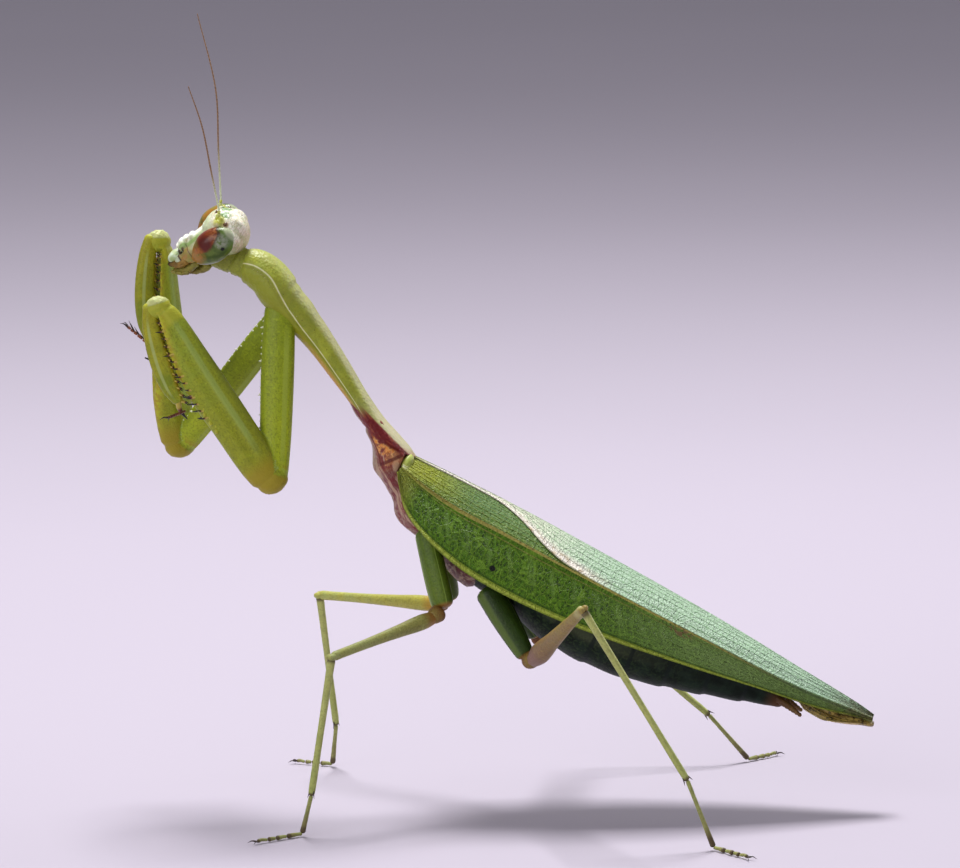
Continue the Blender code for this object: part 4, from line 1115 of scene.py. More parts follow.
def foot_parts(ankle, heel, tip, slot, claw_slot):
    """A foot: the long first joint slopes down to the floor, and four short ones lie on it."""
    heel, tip = Vector((heel.x, heel.y, FOOT_AXIS)), Vector((tip.x, tip.y, FOOT_AXIS))
    out = (tip - heel).normalized()
    side = Z.cross(out)
    slope = (heel - ankle).normalized()
    stations = [(ankle, 0.22, 0.22), (ankle.lerp(heel, 0.35), 0.21, 0.21), (ankle.lerp(heel, 0.8), 0.26, 0.26),
                (heel - slope * 0.05, 0.3, 0.29)]
    parts = [loft(stations, side, sides=16, count=24, ends=(0.15, 0.25), slot=slot)]
    for low, high in zip(FOOT_JOINTS, FOOT_JOINTS[1:]):
        start, end = heel.lerp(tip, low + 0.01), heel.lerp(tip, high - 0.01)
        if high < 1:
            middle = start.lerp(end, 0.45) + Z * 0.03
            stations = [(start, 0.17, 0.17), (middle, 0.2, 0.19), (end, 0.31, 0.27)]
        else:
            middle = start.lerp(end, 0.6) + Z * 0.10
            stations = [(start, 0.15, 0.15), (middle, 0.17, 0.17), (end, 0.22, 0.2)]
        parts.append(loft(stations, side, sides=14, count=14, ends=(0.12, 0.2), slot=slot))
    parts += claws(tip, out, 0.75, claw_slot)
    for part in parts:
        for corner in part.verts:
            corner.co.z = max(corner.co.z, 0.0)
    return parts


def walking_coxa_relief(share, across, upward):
    """A ridge and a groove down the upper side of a coxa."""
    return (0.09 * bump_at(across, 0.35, 0.12) - 0.06 * bump_at(across, 0.6, 0.15)) * (upward > 0)


def slim_femur_relief(share, across, upward):
    """A keel down both sides of a walking femur, which fades towards the knee."""
    return 0.05 * bump_at(upward, 0.0, 0.12) * (1 - share)


def walking_leg(pair, side):
    """A middle or hind leg: coxa, trochanter, femur, tibia, foot and claws in slots 0 to 5, and its CAD nodes."""
    leg = f"{pair}_{side}"
    hip, first, knee, ankle, heel, tip = leg_joints(leg)
    across = (knee - first).cross(ankle - knee).normalized()
    thigh, shin = (knee - first).normalized(), (ankle - knee).normalized()
    coxa, femur = (MID_COXA, MID_FEMUR) if pair == "mid" else (HIND_COXA, HIND_FEMUR)
    count = sizes().sides
    hinge = first - (first - hip).normalized() * 0.35
    parts = [limb(hip, first, coxa, across, 0, count, 50, (0.8, 0.5), walking_coxa_relief),
             limb(hinge, first + thigh * 1.5, KNUCKLE, across, 1, count, 14, (0.4, 0.3)),
             limb(first + thigh * 0.9, knee, femur, across, 2, count, 60, (0.4, 0.5), slim_femur_relief)]
    for sign in (-1, 1):
        spot = knee + across * sign * 0.2 + thigh * 0.05
        lobe = ball(spot, (0.34, 0.34, 0.5), frame_of(thigh, across, Vector()), 14, 10, 2)
        parts.append(mark_share(lobe, lambda spot: 0.9))
    parts.append(limb(knee + shin * 0.1, ankle, SLIM_TIBIA, across, 3, count, 60, (0.35, 0.3)))
    for sign in (-1, 1):
        root = ankle - shin * 0.5 + across * sign * 0.25
        parts.append(thorn(root, root + shin * 0.75 + across * sign * 0.28, 0.09, slot=5))
    parts += foot_parts(ankle - shin * 0.05, heel, tip, 4, 5)
    return gather(parts), [f"{leg}_{part}" for part in ("coxa", "femur", "tibia", "foot")]


class MANTIS_OT_walking_legs(bpy.types.Operator):
    """Builds the two middle and two hind legs with their five-jointed feet"""

    bl_idname = "mantis.walking_legs"
    bl_label = "Walking legs"

    def execute(self, context):
        hues = colours()
        dark = (0.07, 0.04, 0.02)
        coxae = {
            "mid": limb_look("middle coxa", (0.075, 0.13, 0.006), (0.11, 0.17, 0.008), 0.4, ((1.0, 0.08, ORANGE),),
                             edge=(-0.69, 0.72, (0.24, 0.34, 0.06))),
            "hind": limb_look("hind coxa", (0.018, 0.04, 0.003), (0.035, 0.07, 0.006), 0.3, ((1.0, 0.06, ORANGE),),
                              edge=(-0.9, 0.4, (0.12, 0.18, 0.03))),
        }
        trochanter = limb_look("trochanter", (0.15, 0.055, 0.009), (0.26, 0.19, 0.04), 0.6)
        shin = limb_look("slim tibia", hues.pale, (0.34, 0.38, 0.10), 0.5, ((0.0, 0.05, dark), (1.0, 0.03, dark)))
        foot = limb_look("foot", (0.28, 0.30, 0.09), (0.20, 0.17, 0.06), 0.5, ((0.95, 0.2, dark),))
        thighs = {
            ("mid", "left"): limb_look("near middle femur", (0.26, 0.25, 0.06), (0.33, 0.36, 0.12), 0.9,
                                       ((0.0, 0.15, ORANGE),)),
            ("mid", "right"): limb_look("far middle femur", (0.37, 0.34, 0.05), (0.40, 0.43, 0.12), 0.6,
                                        ((0.0, 0.14, (0.42, 0.24, 0.02)),)),
            ("hind", "left"): limb_look("near hind femur", (0.21, 0.12, 0.04), (0.30, 0.24, 0.05), 0.8,
                                        ((0.08, 0.14, (0.22, 0.11, 0.07)), (0.97, 0.08, (0.40, 0.36, 0.14)))),
            ("hind", "right"): limb_look("far hind femur", (0.30, 0.24, 0.06), (0.34, 0.31, 0.08), 0.5),
        }
        horn = horn_look()
        for (pair, side), thigh in thighs.items():
            bm, nodes = walking_leg(pair, side)
            looks = [coxae[pair], trochanter, thigh, shin, foot, horn]
            finish_piece(f"leg_{pair}_{side}", bm, looks, nodes)
        return {"FINISHED"}


def press_to_plane(bm, point, normal):
    """Flattens what lies beyond a plane, with a channel down its middle, and marks its rims."""
    rim = bm.verts.layers.float.new("rim")
    for corner in bm.verts:
        beyond = (corner.co - point).dot(normal)
        corner[rim] = bump_at(beyond, -0.1, 0.42)
        if beyond > 0:
            corner.co -= normal * (beyond + 0.4 * smooth_step(beyond, 0.05, 0.5))


def table_value(table, column, share):
    """A column of a joint's table at a share of its length."""
    return outline([(row[0], row[column]) for row in table], share)


def row_of_spines(shape, length, rows, radius):
    """Spines down a joint, from rows of (share of its length, root there, how far the tip lies from the root)."""
    turn = shape.to_3x3()
    made = []
    for share, place, way in rows:
        root = shape @ (Vector(place) + Vector((0.0, 0.0, share * length)))
        reach = turn @ Vector(way)
        made.append(thorn(root - reach * 0.3, root + reach, radius, bend=reach.cross(turn @ X) * 0.1, slot=3))
    return made


def even_shares(low, high, count):
    """A count of shares, evenly spaced from low to high."""
    return [low + (high - low) * i / (count - 1) for i in range(count)]


def coxa_teeth(hip, first, across):
    """A row of pale, blunt teeth down the front edge of a fore coxa."""
    shape = frame_of(first - hip, across, hip)
    length = (first - hip).length
    made = []
    for i, share in enumerate(even_shares(0.08, 0.86, 22)):
        root = shape @ Vector((0.12 * sin(i * 1.9), -table_value(FORE_COXA, 2, share) - 0.02, share * length))
        out = shape.to_3x3() @ Vector((0.25 * sin(i * 2.4), -1.0, 0.3 + 0.2 * sin(i * 1.7)))
        reach = 0.34 if i % 5 == 2 else 0.17 + 0.05 * sin(i * 3.1)
        made.append(thorn(root - out * 0.15, root + out * reach, 0.2, slot=4))
    return made


def mark_share(bm, share_of):
    """Marks each corner with the share that share_of gives for its place."""
    layer = bm.verts.layers.float.new("share")
    for corner in bm.verts:
        corner[layer] = share_of(corner.co)
    return bm


def fore_coxa_relief(share, across, upward):
    """A fold down the lower side of a fore coxa, and a ridge and a groove down its outer side."""
    ridge = 0.07 * bump_at(across, -0.62, 0.12) * (upward > 0)
    return 0.12 * bump_at(upward, -1.0, 0.2) + ridge - 0.06 * bump_at(across, -0.35, 0.2) * (upward < 0)


def fore_femur_relief(share, across, upward):
    """Ribs and a groove down the sides of a fore femur."""
    ribs = 0.08 * bump_at(upward, -0.35, 0.1) + 0.06 * bump_at(upward, 0.25, 0.1)
    return (ribs - 0.07 * bump_at(upward, -0.08, 0.12)) * smooth_step(share, 0.05, 0.2)


def fore_tibia_relief(share, across, upward):
    """A keel down both sides of a fore tibia, and a swelling along its two toothed rims."""
    return 0.05 * bump_at(upward, -0.2, 0.12) + 0.1 * bump_at(abs(across), 0.75, 0.2) * (upward > 0)


def upper_foreleg(hip, first, knee, end, across, plane):
    """Coxa, bulb, thick femur and knee dome grown together, with a channel for the folded tibia."""
    thigh, down = (knee - first).normalized(), (end - knee).normalized()
    coxa = limb(hip, first, FORE_COXA, across, 0, 36, 80, (1.0, 0.6), fore_coxa_relief)
    shaft = limb(first, knee, FORE_FEMUR, across, 1, 48, 140, (0.8, 1.0), fore_femur_relief)
    press_to_plane(shaft, *plane)
    hip_turn, knee_turn = frame_of(thigh, across, Vector()), frame_of(down, across, Vector())
    bulb = ball(first + thigh * 0.1 + plane[1] * 0.2, (1.12, 1.65, 1.35), hip_turn, 32, 22, 1)
    raise_skin(bulb, lambda v: 0.05 * noise.noise(v.co * 2.0))
    dome = ball(knee + down * 0.76 - plane[1] * 0.29, (0.9, 1.32, 1.18), knee_turn, 48, 36, 1)

    def warts(corner):
        """Fine warts on the knee's dome, which fade down it."""
        bare = smooth_step((knee - corner.co).dot(down), -1.1, 0.2)
        return (0.08 * noise.noise(corner.co * 2.6) + 0.09 * noise.noise(corner.co * 5.0)) * bare

    raise_skin(dome, warts)
    mark_share(bulb, lambda spot: 0.02)
    mark_share(dome, lambda spot: 0.9 + 0.1 * smooth_step((knee - spot).dot(down), -0.9, 0.1))
    return melt_marked([coxa, shaft, bulb, dome], 0.085, 5)


def femur_spines(first, knee, across, plane):
    """Two rows of black-tipped spines along the femur's channel, with four long ones between them."""
    shape = frame_of(knee - first, across, first)
    reach = (knee - first).length
    face = shape.inverted() @ plane[0]
    tilt = shape.inverted().to_3x3() @ plane[1]

    def edge(share):
        """How high the rim of the channel stands at a share of the femur."""
        surface = table_value(FORE_FEMUR, 3, share) + table_value(FORE_FEMUR, 2, share) * 0.8
        return min(face.y - (share * reach - face.z) * tilt.z / tilt.y, surface)

    parts = []
    for sign in (-1, 1):
        rows = [(share, (sign * 0.8, edge(share) - 0.15, 0.0), (sign * 0.12, 0.8 if i % 3 == 0 else 0.45, 0.3))
                for i, share in enumerate(even_shares(0.42, 0.90, 14))]
        parts += row_of_spines(shape, reach, rows, 0.16)
    rows = [(share, (0.25 - 0.3 * i, edge(share) - 0.3, 0.0), (0.1, 1.2, 0.35))
            for i, share in enumerate((0.42, 0.46, 0.5, 0.54))]
    parts += row_of_spines(shape, reach, rows, 0.24)
    for i, share in enumerate(even_shares(0.34, 0.46, 6)):
        spot = shape @ Vector((-0.75 if across.y > 0 else 0.75, edge(share) - 0.1 - 0.3 * (i % 2), share * reach))
        parts.append(ball(spot, (0.22, 0.26, 0.28), segments=12, rings=8, slot=2))
    return parts


def fore_tibia(knee, end, across):
    """The tibia that folds along the femur, with close rows of teeth and a strong hooked claw."""
    shape = frame_of(end - knee, across, knee)
    shin = (end - knee).length
    shaft = limb(knee, end, FORE_TIBIA, across, 2, 30, 90, (0.4, 0.3), fore_tibia_relief)
    rim = shaft.verts.layers.float.new("rim")
    upward = shaft.verts.layers.float["upward"]
    for corner in shaft.verts:
        corner[rim] = smooth_step(corner[upward], 0.55, 0.8)
    parts = [shaft]
    root, tip = shape @ Vector((0.0, -0.5, shin * 0.88)), shape @ Vector((0.0, -0.2, shin * 0.9 + 2.0))
    parts.append(thorn(root, tip, 0.38, bend=shape.to_3x3() @ Vector((0, -0.3, 0)), sides=16, slot=3))
    for sign in (-1, 1):
        rows = []
        for share in even_shares(0.14, 0.92, 13):
            height = table_value(FORE_TIBIA, 3, share) + table_value(FORE_TIBIA, 2, share) * 0.85
            rows.append((share, (sign * 0.36, height, 0.0), (sign * 0.15, 0.28 + 0.2 * share, 0.42)))
        parts += row_of_spines(shape, shin, rows, 0.12)
    return parts


def fore_leg(side):
    """A folded foreleg: coxa, femur, tibia, spines and teeth in slots 0 to 4, and its CAD nodes."""
    leg = "fore_" + side
    hip, first, knee, end = leg_joints(leg)
    across = (knee - first).cross(end - knee).normalized()
    across *= 1 if across.y > 0 else -1
    along = (end - knee).normalized()
    onward = (knee - first).normalized()
    normal = (onward - along * onward.dot(along)).normalized()
    inwards = Y if side == "left" else -Y
    hip = hip + (hip - first).normalized() * 1.6 + inwards * 1.5
    plane = (knee - normal * 0.1, normal)
    parts = [upper_foreleg(hip, first, knee, end, across, plane)]
    parts += coxa_teeth(hip, first, across) + femur_spines(first, knee, across, plane)
    parts += fore_tibia(knee, end, across)
    return gather(parts), [f"{leg}_{part}" for part in ("coxa", "femur", "tibia")]


def fore_foot(side):
    """The slender five-jointed foot of a foreleg, bent sharply beside the claw."""
    name = f"fore_{side}_tarsus"
    start = leg_joints("fore_" + side)[3]
    tip = at(name, 0.12, 0.1, 0.2) if side == "left" else at(name, 0.1, 0.75, 0.8)
    parts = []
    for low, high in zip(FORE_FOOT_JOINTS, FORE_FOOT_JOINTS[1:]):
        a, b = start.lerp(tip, low), start.lerp(tip, high)
        parts.append(loft([(a, 0.13, 0.13), (a.lerp(b, 0.93), 0.17, 0.17)], Z, sides=14, count=10, ends=(0.06, 0.1)))
    parts += claws(start.lerp(tip, 0.95), (tip - start).normalized(), 0.8, 1)
    if side == "right":
        for share, rise in ((0.5, 0.9), (0.7, 1.1), (0.3, 0.6)):
            root = start.lerp(tip, share)
            point = root + (tip - start).normalized() * 0.5 + Z * rise * 0.8 - X * 0.2
            parts.append(thorn(root, point, 0.12, slot=1))
    return gather(parts)


class MANTIS_OT_forelegs(bpy.types.Operator):
    """Builds the two folded forelegs with their spines, claws and slender feet"""

    bl_idname = "mantis.forelegs"
    bl_label = "Forelegs"

    def execute(self, context):
        hues = colours()
        ochre, chalk, gold = (0.33, 0.25, 0.012), (0.52, 0.54, 0.22), (0.42, 0.42, 0.03)
        coxa = limb_look("fore coxa", (0.23, 0.29, 0.008), (0.37, 0.43, 0.012), 0.2, ((1.0, 0.1, ochre),),
                         (0.5, (0.36, 0.44, 0.05)))
        femur = limb_look("fore femur", (0.25, 0.27, 0.010), hues.limb, 0.3,
                          ((0.0, 0.16, ochre), (0.93, 0.05, gold), (1.0, 0.05, chalk)), (-0.42, (0.34, 0.44, 0.10)))
        tibia = limb_look("fore tibia", (0.33, 0.31, 0.012), (0.19, 0.25, 0.010), 0.3, ((0.0, 0.08, gold),),
                          (-0.3, (0.40, 0.47, 0.16)))
        looks = [coxa, femur, tibia, spine_look(), tooth_look()]
        foot = limb_look("fore foot", (0.26, 0.08, 0.035), (0.10, 0.03, 0.018), 0.5)
        horn = horn_look()
        for side in ("left", "right"):
            bm, nodes = fore_leg(side)
            finish_piece(f"foreleg_{side}", bm, looks, nodes)
            finish_piece(f"fore_foot_{side}", fore_foot(side), [foot, horn], [f"fore_{side}_tarsus"])
        return {"FINISHED"}


# --- head ---

# In the head's own frame, in millimetres: to its right, out of its face and up to its crown.
EYE_CENTRE, EYE_HALF_AXES = (2.25, 0.03, -0.02), (1.42, 1.7, 2.6)
SIMPLE_EYES = (((1.62, 0.88, 2.36), 1), ((1.62, 0.88, 2.36), -1), ((0.0, 1.85, 1.9), 1))
FEELER_BASE = (1.05, 1.5, 1.8)
NOSTRIL_SPOTS = ((1.1, 1.0, -3.35), (1.0, 0.75, -3.75), (1.25, 0.8, -2.85))  # dark specks where the jaws are hinged

# The face's rings (up, half width, half depth, out), and the lumps that grow on it (centre, half axes).
FACE = ((1.6, 1.5, 1.55, -0.1), (0, 1.6, 1.65, -0.1), (-2.2, 1.5, 1.3, 0.2), (-3.4, 1.2, 0.9, 0.5))
MIDDLE_LUMPS = (((0, 1.1, -3.15), (1.05, 0.72, 0.72)), ((0, 1.6, -2.6), (0.6, 0.28, 0.36)),
                ((0, 1.6, -3.2), (0.6, 0.28, 0.36)), ((0, 1.42, -3.7), (0.6, 0.28, 0.36)),
                ((0, 1.5, -1.9), (0.6, 0.28, 0.36)), ((0, 0.8, -4.85), (0.85, 0.48, 0.9)),
                ((0, 1.35, 0.4), (0.9, 0.5, 0.9)))
PAIRED_LUMPS = (((1.05, 0.2, -3.0), (0.72, 0.9, 0.95)), ((1.0, 0.35, -4.1), (0.42, 0.62, 0.8)),
                ((1.45, 1.3, 1.75), (0.5, 0.45, 0.45)), ((1.2, 1.45, 2.15), (0.26, 0.26, 0.3)),
                ((0.75, 1.6, 2.1), (0.3, 0.26, 0.34)), ((0.75, -0.3, 2.95), (0.75, 1.0, 0.5)),
                ((2.0, -0.45, 1.7), (0.8, 1.3, 0.9)))

# The mouth's parts as stations (place, half width, half depth), and its palps as joints with their radii.
JAW = (((1.0, 0.05, -3.5), 0.5, 0.62), ((0.95, 0.15, -4.6), 0.46, 0.58), ((0.6, 0.4, -5.4), 0.3, 0.34),
       ((0.25, 0.6, -5.95), 0.12, 0.14))
MAXILLA = (((0.85, -0.85, -3.0), 0.42, 0.55), ((0.95, -0.8, -4.3), 0.42, 0.55), ((0.75, -0.5, -5.3), 0.3, 0.34),
           ((0.45, -0.2, -5.9), 0.12, 0.14))
LIP_LOBE = (((0.35, -1.3, -4.4), 0.34, 0.28), ((0.3, -1.0, -5.9), 0.2, 0.16))
LOWER_LIP = (((0, -1.75, -2.3), 1.0, 0.6), ((0, -1.95, -3.2), 1.05, 0.55), ((0, -1.7, -4.2), 0.8, 0.45),
             ((0, -1.35, -4.9), 0.55, 0.35))
LONG_PALP = (((1.2, -0.95, -3.7), 0.17), ((1.45, -0.95, -4.35), 0.2), ((1.45, -0.7, -5.0), 0.2),
             ((1.2, -0.35, -5.55), 0.2), ((0.9, 0.0, -5.95), 0.15))
SHORT_PALP = (((0.5, -1.5, -4.3), 0.14), ((0.62, -1.42, -4.85), 0.17), ((0.55, -1.15, -5.35), 0.17),
              ((0.4, -0.85, -5.7), 0.13))


def middle_of(node):
    """The middle of a CAD node's box, in millimetres."""
    return at(node, 0.5, 0.5, 0.5)


# The head's frame: the way its crown points, and to its right from eye to eye.
HEAD_UP = Vector((0.773, -0.263, 0.578)).normalized()
HEAD_RIGHT = (middle_of("eye_right") - middle_of("eye_left")).normalized()
HEAD_FORWARD = HEAD_UP.cross(HEAD_RIGHT).normalized()
HEAD_CENTRE = at("head", 0.597, 0.527, 0.544)
HEAD = Matrix.Translation(HEAD_CENTRE) @ Matrix((HEAD_RIGHT, HEAD_FORWARD, HEAD_UP)).transposed().to_4x4()


def head_place(look):
    """Where a point is in the head: millimetres to its right, out of its face and up to its crown."""
    spot = look.place(shift=HEAD_CENTRE)
    return tuple(look.along(spot, axis) for axis in (HEAD_RIGHT, HEAD_FORWARD, HEAD_UP))


def near_to(look, spot, where, reach):
    """1 at a place of the head, falling to 0 at its reach."""
    return look.near(spot, where, reach * 0.45, reach)


def head_look():
    """Whitish green skin with a pearly crown, a few green spots, brown cheeks and dark seams."""
    hue = colours().face
    look = Look("head capsule", Roughness=0.3, Subsurface_Weight=0.08, Subsurface_Scale=0.0005,
                Specular_IOR_Level=0.35)
    right, out, up = head_place(look)
    side = right.absolute()
    spot = look.join(side, out, up)
    place = look.place()
    grain, blotch = look.noise(place, 2.0, 3.0), look.noise(place, 1.1, 3.0, 0.6)
    look.colour = look.mix(grain.step(0.35, 0.7), shade(hue, 0.9), shade(hue, 1.1))
    # The pearly crown, and the brown back of the head, partly its own tan and partly painted shade.
    crown = up.step(0.6, 1.8)
    pearl = look.mix(blotch.step(0.4, 0.65), (0.95, 0.91, 0.78), (0.70, 0.69, 0.48))
    look.coat(crown, pearl)
    # Painted shade over the head's own tan: the back of the crown turns tan and olive brown.
    back = 1 - out.step(-1.9, 0.0)
    look.coat(back * crown * 0.75, look.mix(blotch.step(0.42, 0.6), (0.66, 0.48, 0.32), (0.46, 0.38, 0.16)))
    look.coat((1 - out.step(-2.4, -1.5)) * (1 - up.step(0.4, 2.4)) * 0.9, (0.27, 0.27, 0.03))
    # Fine folds and green spots on the crown.
    folds = look.noise(look.join(side * 1.2, up * 0.8, out * 2.6), 1.1, 3.0)
    look.coat(folds.band(0.5, 0.04) * crown * 0.6, (0.40, 0.42, 0.20))
    green = near_to(look, spot, (0.6, 1.25, 2.6), 0.75) * blotch.step(0.4, 0.5)
    look.coat(green * 0.85, (0.10, 0.24, 0.05))
    look.coat(near_to(look, spot, (0.1, 1.7, 2.1), 0.6) * blotch.step(0.45, 0.52), (0.13, 0.30, 0.06))
    # Yellow round the feelers' roots, brown round the simple eyes.
    look.coat(near_to(look, spot, (1.35, 1.4, 1.95), 0.85) * 0.9, (0.52, 0.54, 0.05))
    look.coat(near_to(look, spot, (1.67, 0.8, 2.36), 0.42) * 0.85, (0.30, 0.16, 0.03))
    # The white face shield between two green strips, and the brown cheeks.
    strip = side.band(0.85, 0.3) * (1 - up.step(-1.4, -0.4)) * up.step(-4.2, -3.6)
    look.coat(strip * 0.75, (0.20, 0.36, 0.05))
    look.coat((1 - side.step(0.3, 0.6)) * (1 - up.step(-0.8, 0.4)) * 0.8, (0.95, 0.95, 0.84))
    cheek = side.step(0.85, 1.2) * (1 - up.step(-2.9, -1.9))
    look.coat(cheek * 0.9, look.mix(grain.step(0.4, 0.6), (0.34, 0.17, 0.015), (0.26, 0.22, 0.02)))
    # The upper lip, and dark seams round it and down the jaws.
    lip = 1 - up.step(-4.25, -3.95)
    look.coat(lip * 0.75, look.mix(blotch.step(0.4, 0.6), (0.34, 0.46, 0.16), (0.56, 0.66, 0.50)))
    look.coat(up.band(-4.08, 0.12) * 0.9, DARK_SEAM)
    look.coat(up.band(-2.75, 0.07) * side.step(0.7, 0.9) * 0.7, (0.10, 0.02, 0.01))
    look.coat(side.band(1.0, 0.1) * (1 - up.step(-3.3, -2.9)) * up.step(-5.4, -5.0) * 0.9, DARK_SEAM)
    for where in NOSTRIL_SPOTS:
        look.coat(near_to(look, spot, where, 0.2), (0.01, 0.006, 0.004))
    look.coat((1 - up.step(-6.0, -5.3)) * 0.9, JAW_BLACK)
    # Brown veining over the crown.
    veining = look.noise(place, 1.7, 4.0, 0.6)
    look.coat(veining.band(0.5, 0.035) * crown * (1 - green) * 0.45, (0.50, 0.38, 0.24))
    look.coat(veining.step(0.56, 0.66) * crown * back * 0.6, (0.44, 0.40, 0.20))
    look.bump(folds * crown, 0.1)
    look.bump(look.noise(place, 5.0, 3.0), 0.04)
    look.bump(look.cells(place, 4.0), 0.02)
    return look.paint(Roughness=0.26 + grain * 0.18)


def eye_look():
    """A green eye with a rust red patch in front, fine facets and a small dark pupil."""
    hue = colours().eye
    look = Look("compound eye", Roughness=0.28, Coat_Weight=0.15, Coat_Roughness=0.1, Specular_IOR_Level=0.25)
    right, out, up = head_place(look)
    side = right.absolute()
    spot = look.join(0.0, out, up)
    place = look.place()
    mottle, fine = look.noise(place, 1.2, 3.0), look.noise(place, 3.5, 3.0)
    look.colour = look.mix(mottle.step(0.35, 0.65), (0.05, 0.09, 0.010), (0.12, 0.18, 0.022))
    look.coat(up.step(0.7, 2.0) * (1 - out.step(0.4, 1.2)) * 0.75, (0.13, 0.22, 0.05))
    look.coat((1 - up.step(-2.5, -1.2)) * (0.35 + out.step(-0.6, 0.8) * 0.6), (0.36, 0.15, 0.02))
    # The rust red patch in front, browner on the right eye.
    reach = out - (up + 0.2) * (up + 0.2) * 0.13 + (fine - 0.5) * 0.5
    patch = reach.step(0.35, 0.62) * (1 - up.step(1.62, 1.85)) * up.step(-1.9, -1.3)
    rust = look.mix(fine.step(0.35, 0.65), shade(hue, 0.8), look.mix(up.step(0.4, 1.4), hue, (0.30, 0.10, 0.02)))
    patch = patch * (1 - out.step(1.05, 1.35) * (1 - up.step(-1.1, -0.4)))
    far = right.step(-0.5, 0.5)
    rust = look.mix(far * 0.8, rust, look.mix(mottle.step(0.4, 0.6), (0.42, 0.20, 0.02), (0.26, 0.24, 0.03)))
    look.coat(patch, rust)
    look.coat(near_to(look, spot, (0, 1.04, 0.0), 0.95) * (1 - far) * 0.9, (0.09, 0.005, 0.002))
    look.coat(near_to(look, spot, (0, 0.7, -1.8), 1.5) * fine.step(0.2, 0.6) * 0.75, (0.42, 0.16, 0.012))
    # Its dark rim, a painted grey-white highlight high up, and pale skin where the eye meets the head.
    front_rim = reach.band(0.45, 0.12) * up.step(0.3, 1.0) * (1 - up.step(1.8, 2.0))
    look.coat((front_rim + up.band(1.75, 0.16) * out.step(0.3, 0.8)) * 0.75, (0.05, 0.025, 0.008))
    # Painted highlight: a grey-white gloss patch high on the eye.
    painted_gloss = near_to(look, spot, (0, 0.2, 1.5), 0.9) * fine.step(0.3, 0.6)
    look.coat(painted_gloss * 0.6, (0.40, 0.40, 0.34))
    look.coat(up.step(2.1, 2.35) * 0.7, (0.50, 0.52, 0.36))
    look.coat((1 - side.step(1.05, 1.4)) * 0.85, (0.55, 0.52, 0.34))
    look.coat((1 - out.step(-1.55, -1.3)) * 0.8, (0.50, 0.50, 0.36))
    # The facets, and the dark spot that seems to look out.
    pupil = near_to(look, spot, (0, -0.41, 1.12), 0.27) * side.step(2.0, 2.6)
    facets = look.cells(place, 15.0, "DISTANCE_TO_EDGE", 0.25)
    look.coat((1 - facets.step(0.0, 0.1)) * 0.25, (0.02, 0.015, 0.01))
    look.coat(pupil, (0.001, 0.001, 0.001))
    look.bump(facets, 0.01)
    return look.paint()


def mirrored(point, sign):
    """A point of the head's right side, or with a sign of -1 its twin on the left."""
    return Vector((sign * point[0], point[1], point[2]))


def drop(sign):
    """A tear-shaped compound eye, drawn to a blunt point low on the face."""
    bm = ball(Vector(), EYE_HALF_AXES, segments=64, rings=48)
    for corner in bm.verts:
        height = corner.co.z / EYE_HALF_AXES[2]
        pinch = 1 - 0.16 * smooth_step(-height, 0.1, 1.0)
        corner.co.x *= pinch
        corner.co.y = corner.co.y * pinch - 0.1 * smooth_step(-height, 0.2, 1.0)
    bm.transform(Matrix.Translation(mirrored(EYE_CENTRE, sign)))
    return bm


def head_lump():
    """The head capsule: crown, brow, cheeks, face shield and upper lip grown into one skin."""
    parts = [ball((0, -0.43, 1.1), (2.5, 2.45, 2.3), segments=48, rings=32)]
    face = [(Vector((0, out, up)), wide, deep) for up, wide, deep, out in FACE]
    parts.append(loft(face, X, sides=40, count=30, ends=(0, 0)))
    parts += [ball(centre, half_axes) for centre, half_axes in MIDDLE_LUMPS]
    parts += [ball(mirrored(centre, sign), half_axes) for sign in (-1, 1) for centre, half_axes in PAIRED_LUMPS]
    return melt(gather(parts), 0.075, 5)


def palp(joints, sign):
    """A chain of short joints, each swelling a little towards its end."""
    made = []
    for (start, first), (end, last) in zip(joints, joints[1:]):
        stations = [(mirrored(start, sign), first * 0.8, first * 0.8), (mirrored(end, sign), last, last)]
        made.append(loft(stations, Y, sides=16, count=10, ends=(0.08, 0.15), slot=1))
    return made


def mouth_relief(share, across, upward):
    """The uneven skin of the mouth's parts."""
    return 0.07 * noise.noise(Vector((share * 9, across * 2, upward * 2)))


def mouth_part(table, sign, slot, facing, sides, count, ends):
    """One part of the mouth as a skin through its table's stations, on the right or mirrored to the left."""
    stations = [(mirrored(place, sign), wide, deep) for place, wide, deep in table]
    return loft(stations, facing, sides=sides, count=count, ends=ends, slot=slot, relief=mouth_relief)


def mouth_parts():
    """Mandibles with dark tips in slot 0, and maxillae, palps and the lobed lower lip in slot 1."""
    parts = []
    for sign in (-1, 1):
        parts.append(mouth_part(JAW, sign, 0, Y, 24, 30, (0.3, 0.1)))
        parts.append(mouth_part(MAXILLA, sign, 1, Y, 24, 30, (0.3, 0.1)))
        parts += palp(LONG_PALP, sign) + palp(SHORT_PALP, sign)
        parts.append(mouth_part(LIP_LOBE, sign, 1, Y, 18, 16, (0.2, 0.2)))
    parts.append(mouth_part(LOWER_LIP, 1, 1, X, 32, 36, (0.4, 0.3)))
    return parts


def simple_eye_look():
    """Dark brown and glossy."""
    look = Look("simple eye", Roughness=0.15, Coat_Weight=0.5)
    rim = look.cells(look.place(), 3.0)
    look.colour = look.mix(rim.step(0.2, 0.6), (0.16, 0.07, 0.02), (0.05, 0.02, 0.01))
    return look.paint()


def neck_relief(share, across, upward):
    """The fine rings, the uneven skin, the cross fold and the side ridge of the neck."""
    skin = 0.09 * noise.noise(Vector((across * 2.2, upward * 2.2, share * 7)))
    return (0.02 * sin(share * 60) + skin - 0.12 * bump_at(share, 0.5, 0.04)
            + 0.1 * bump_at(across, -0.3, 0.12) * (upward > 0))


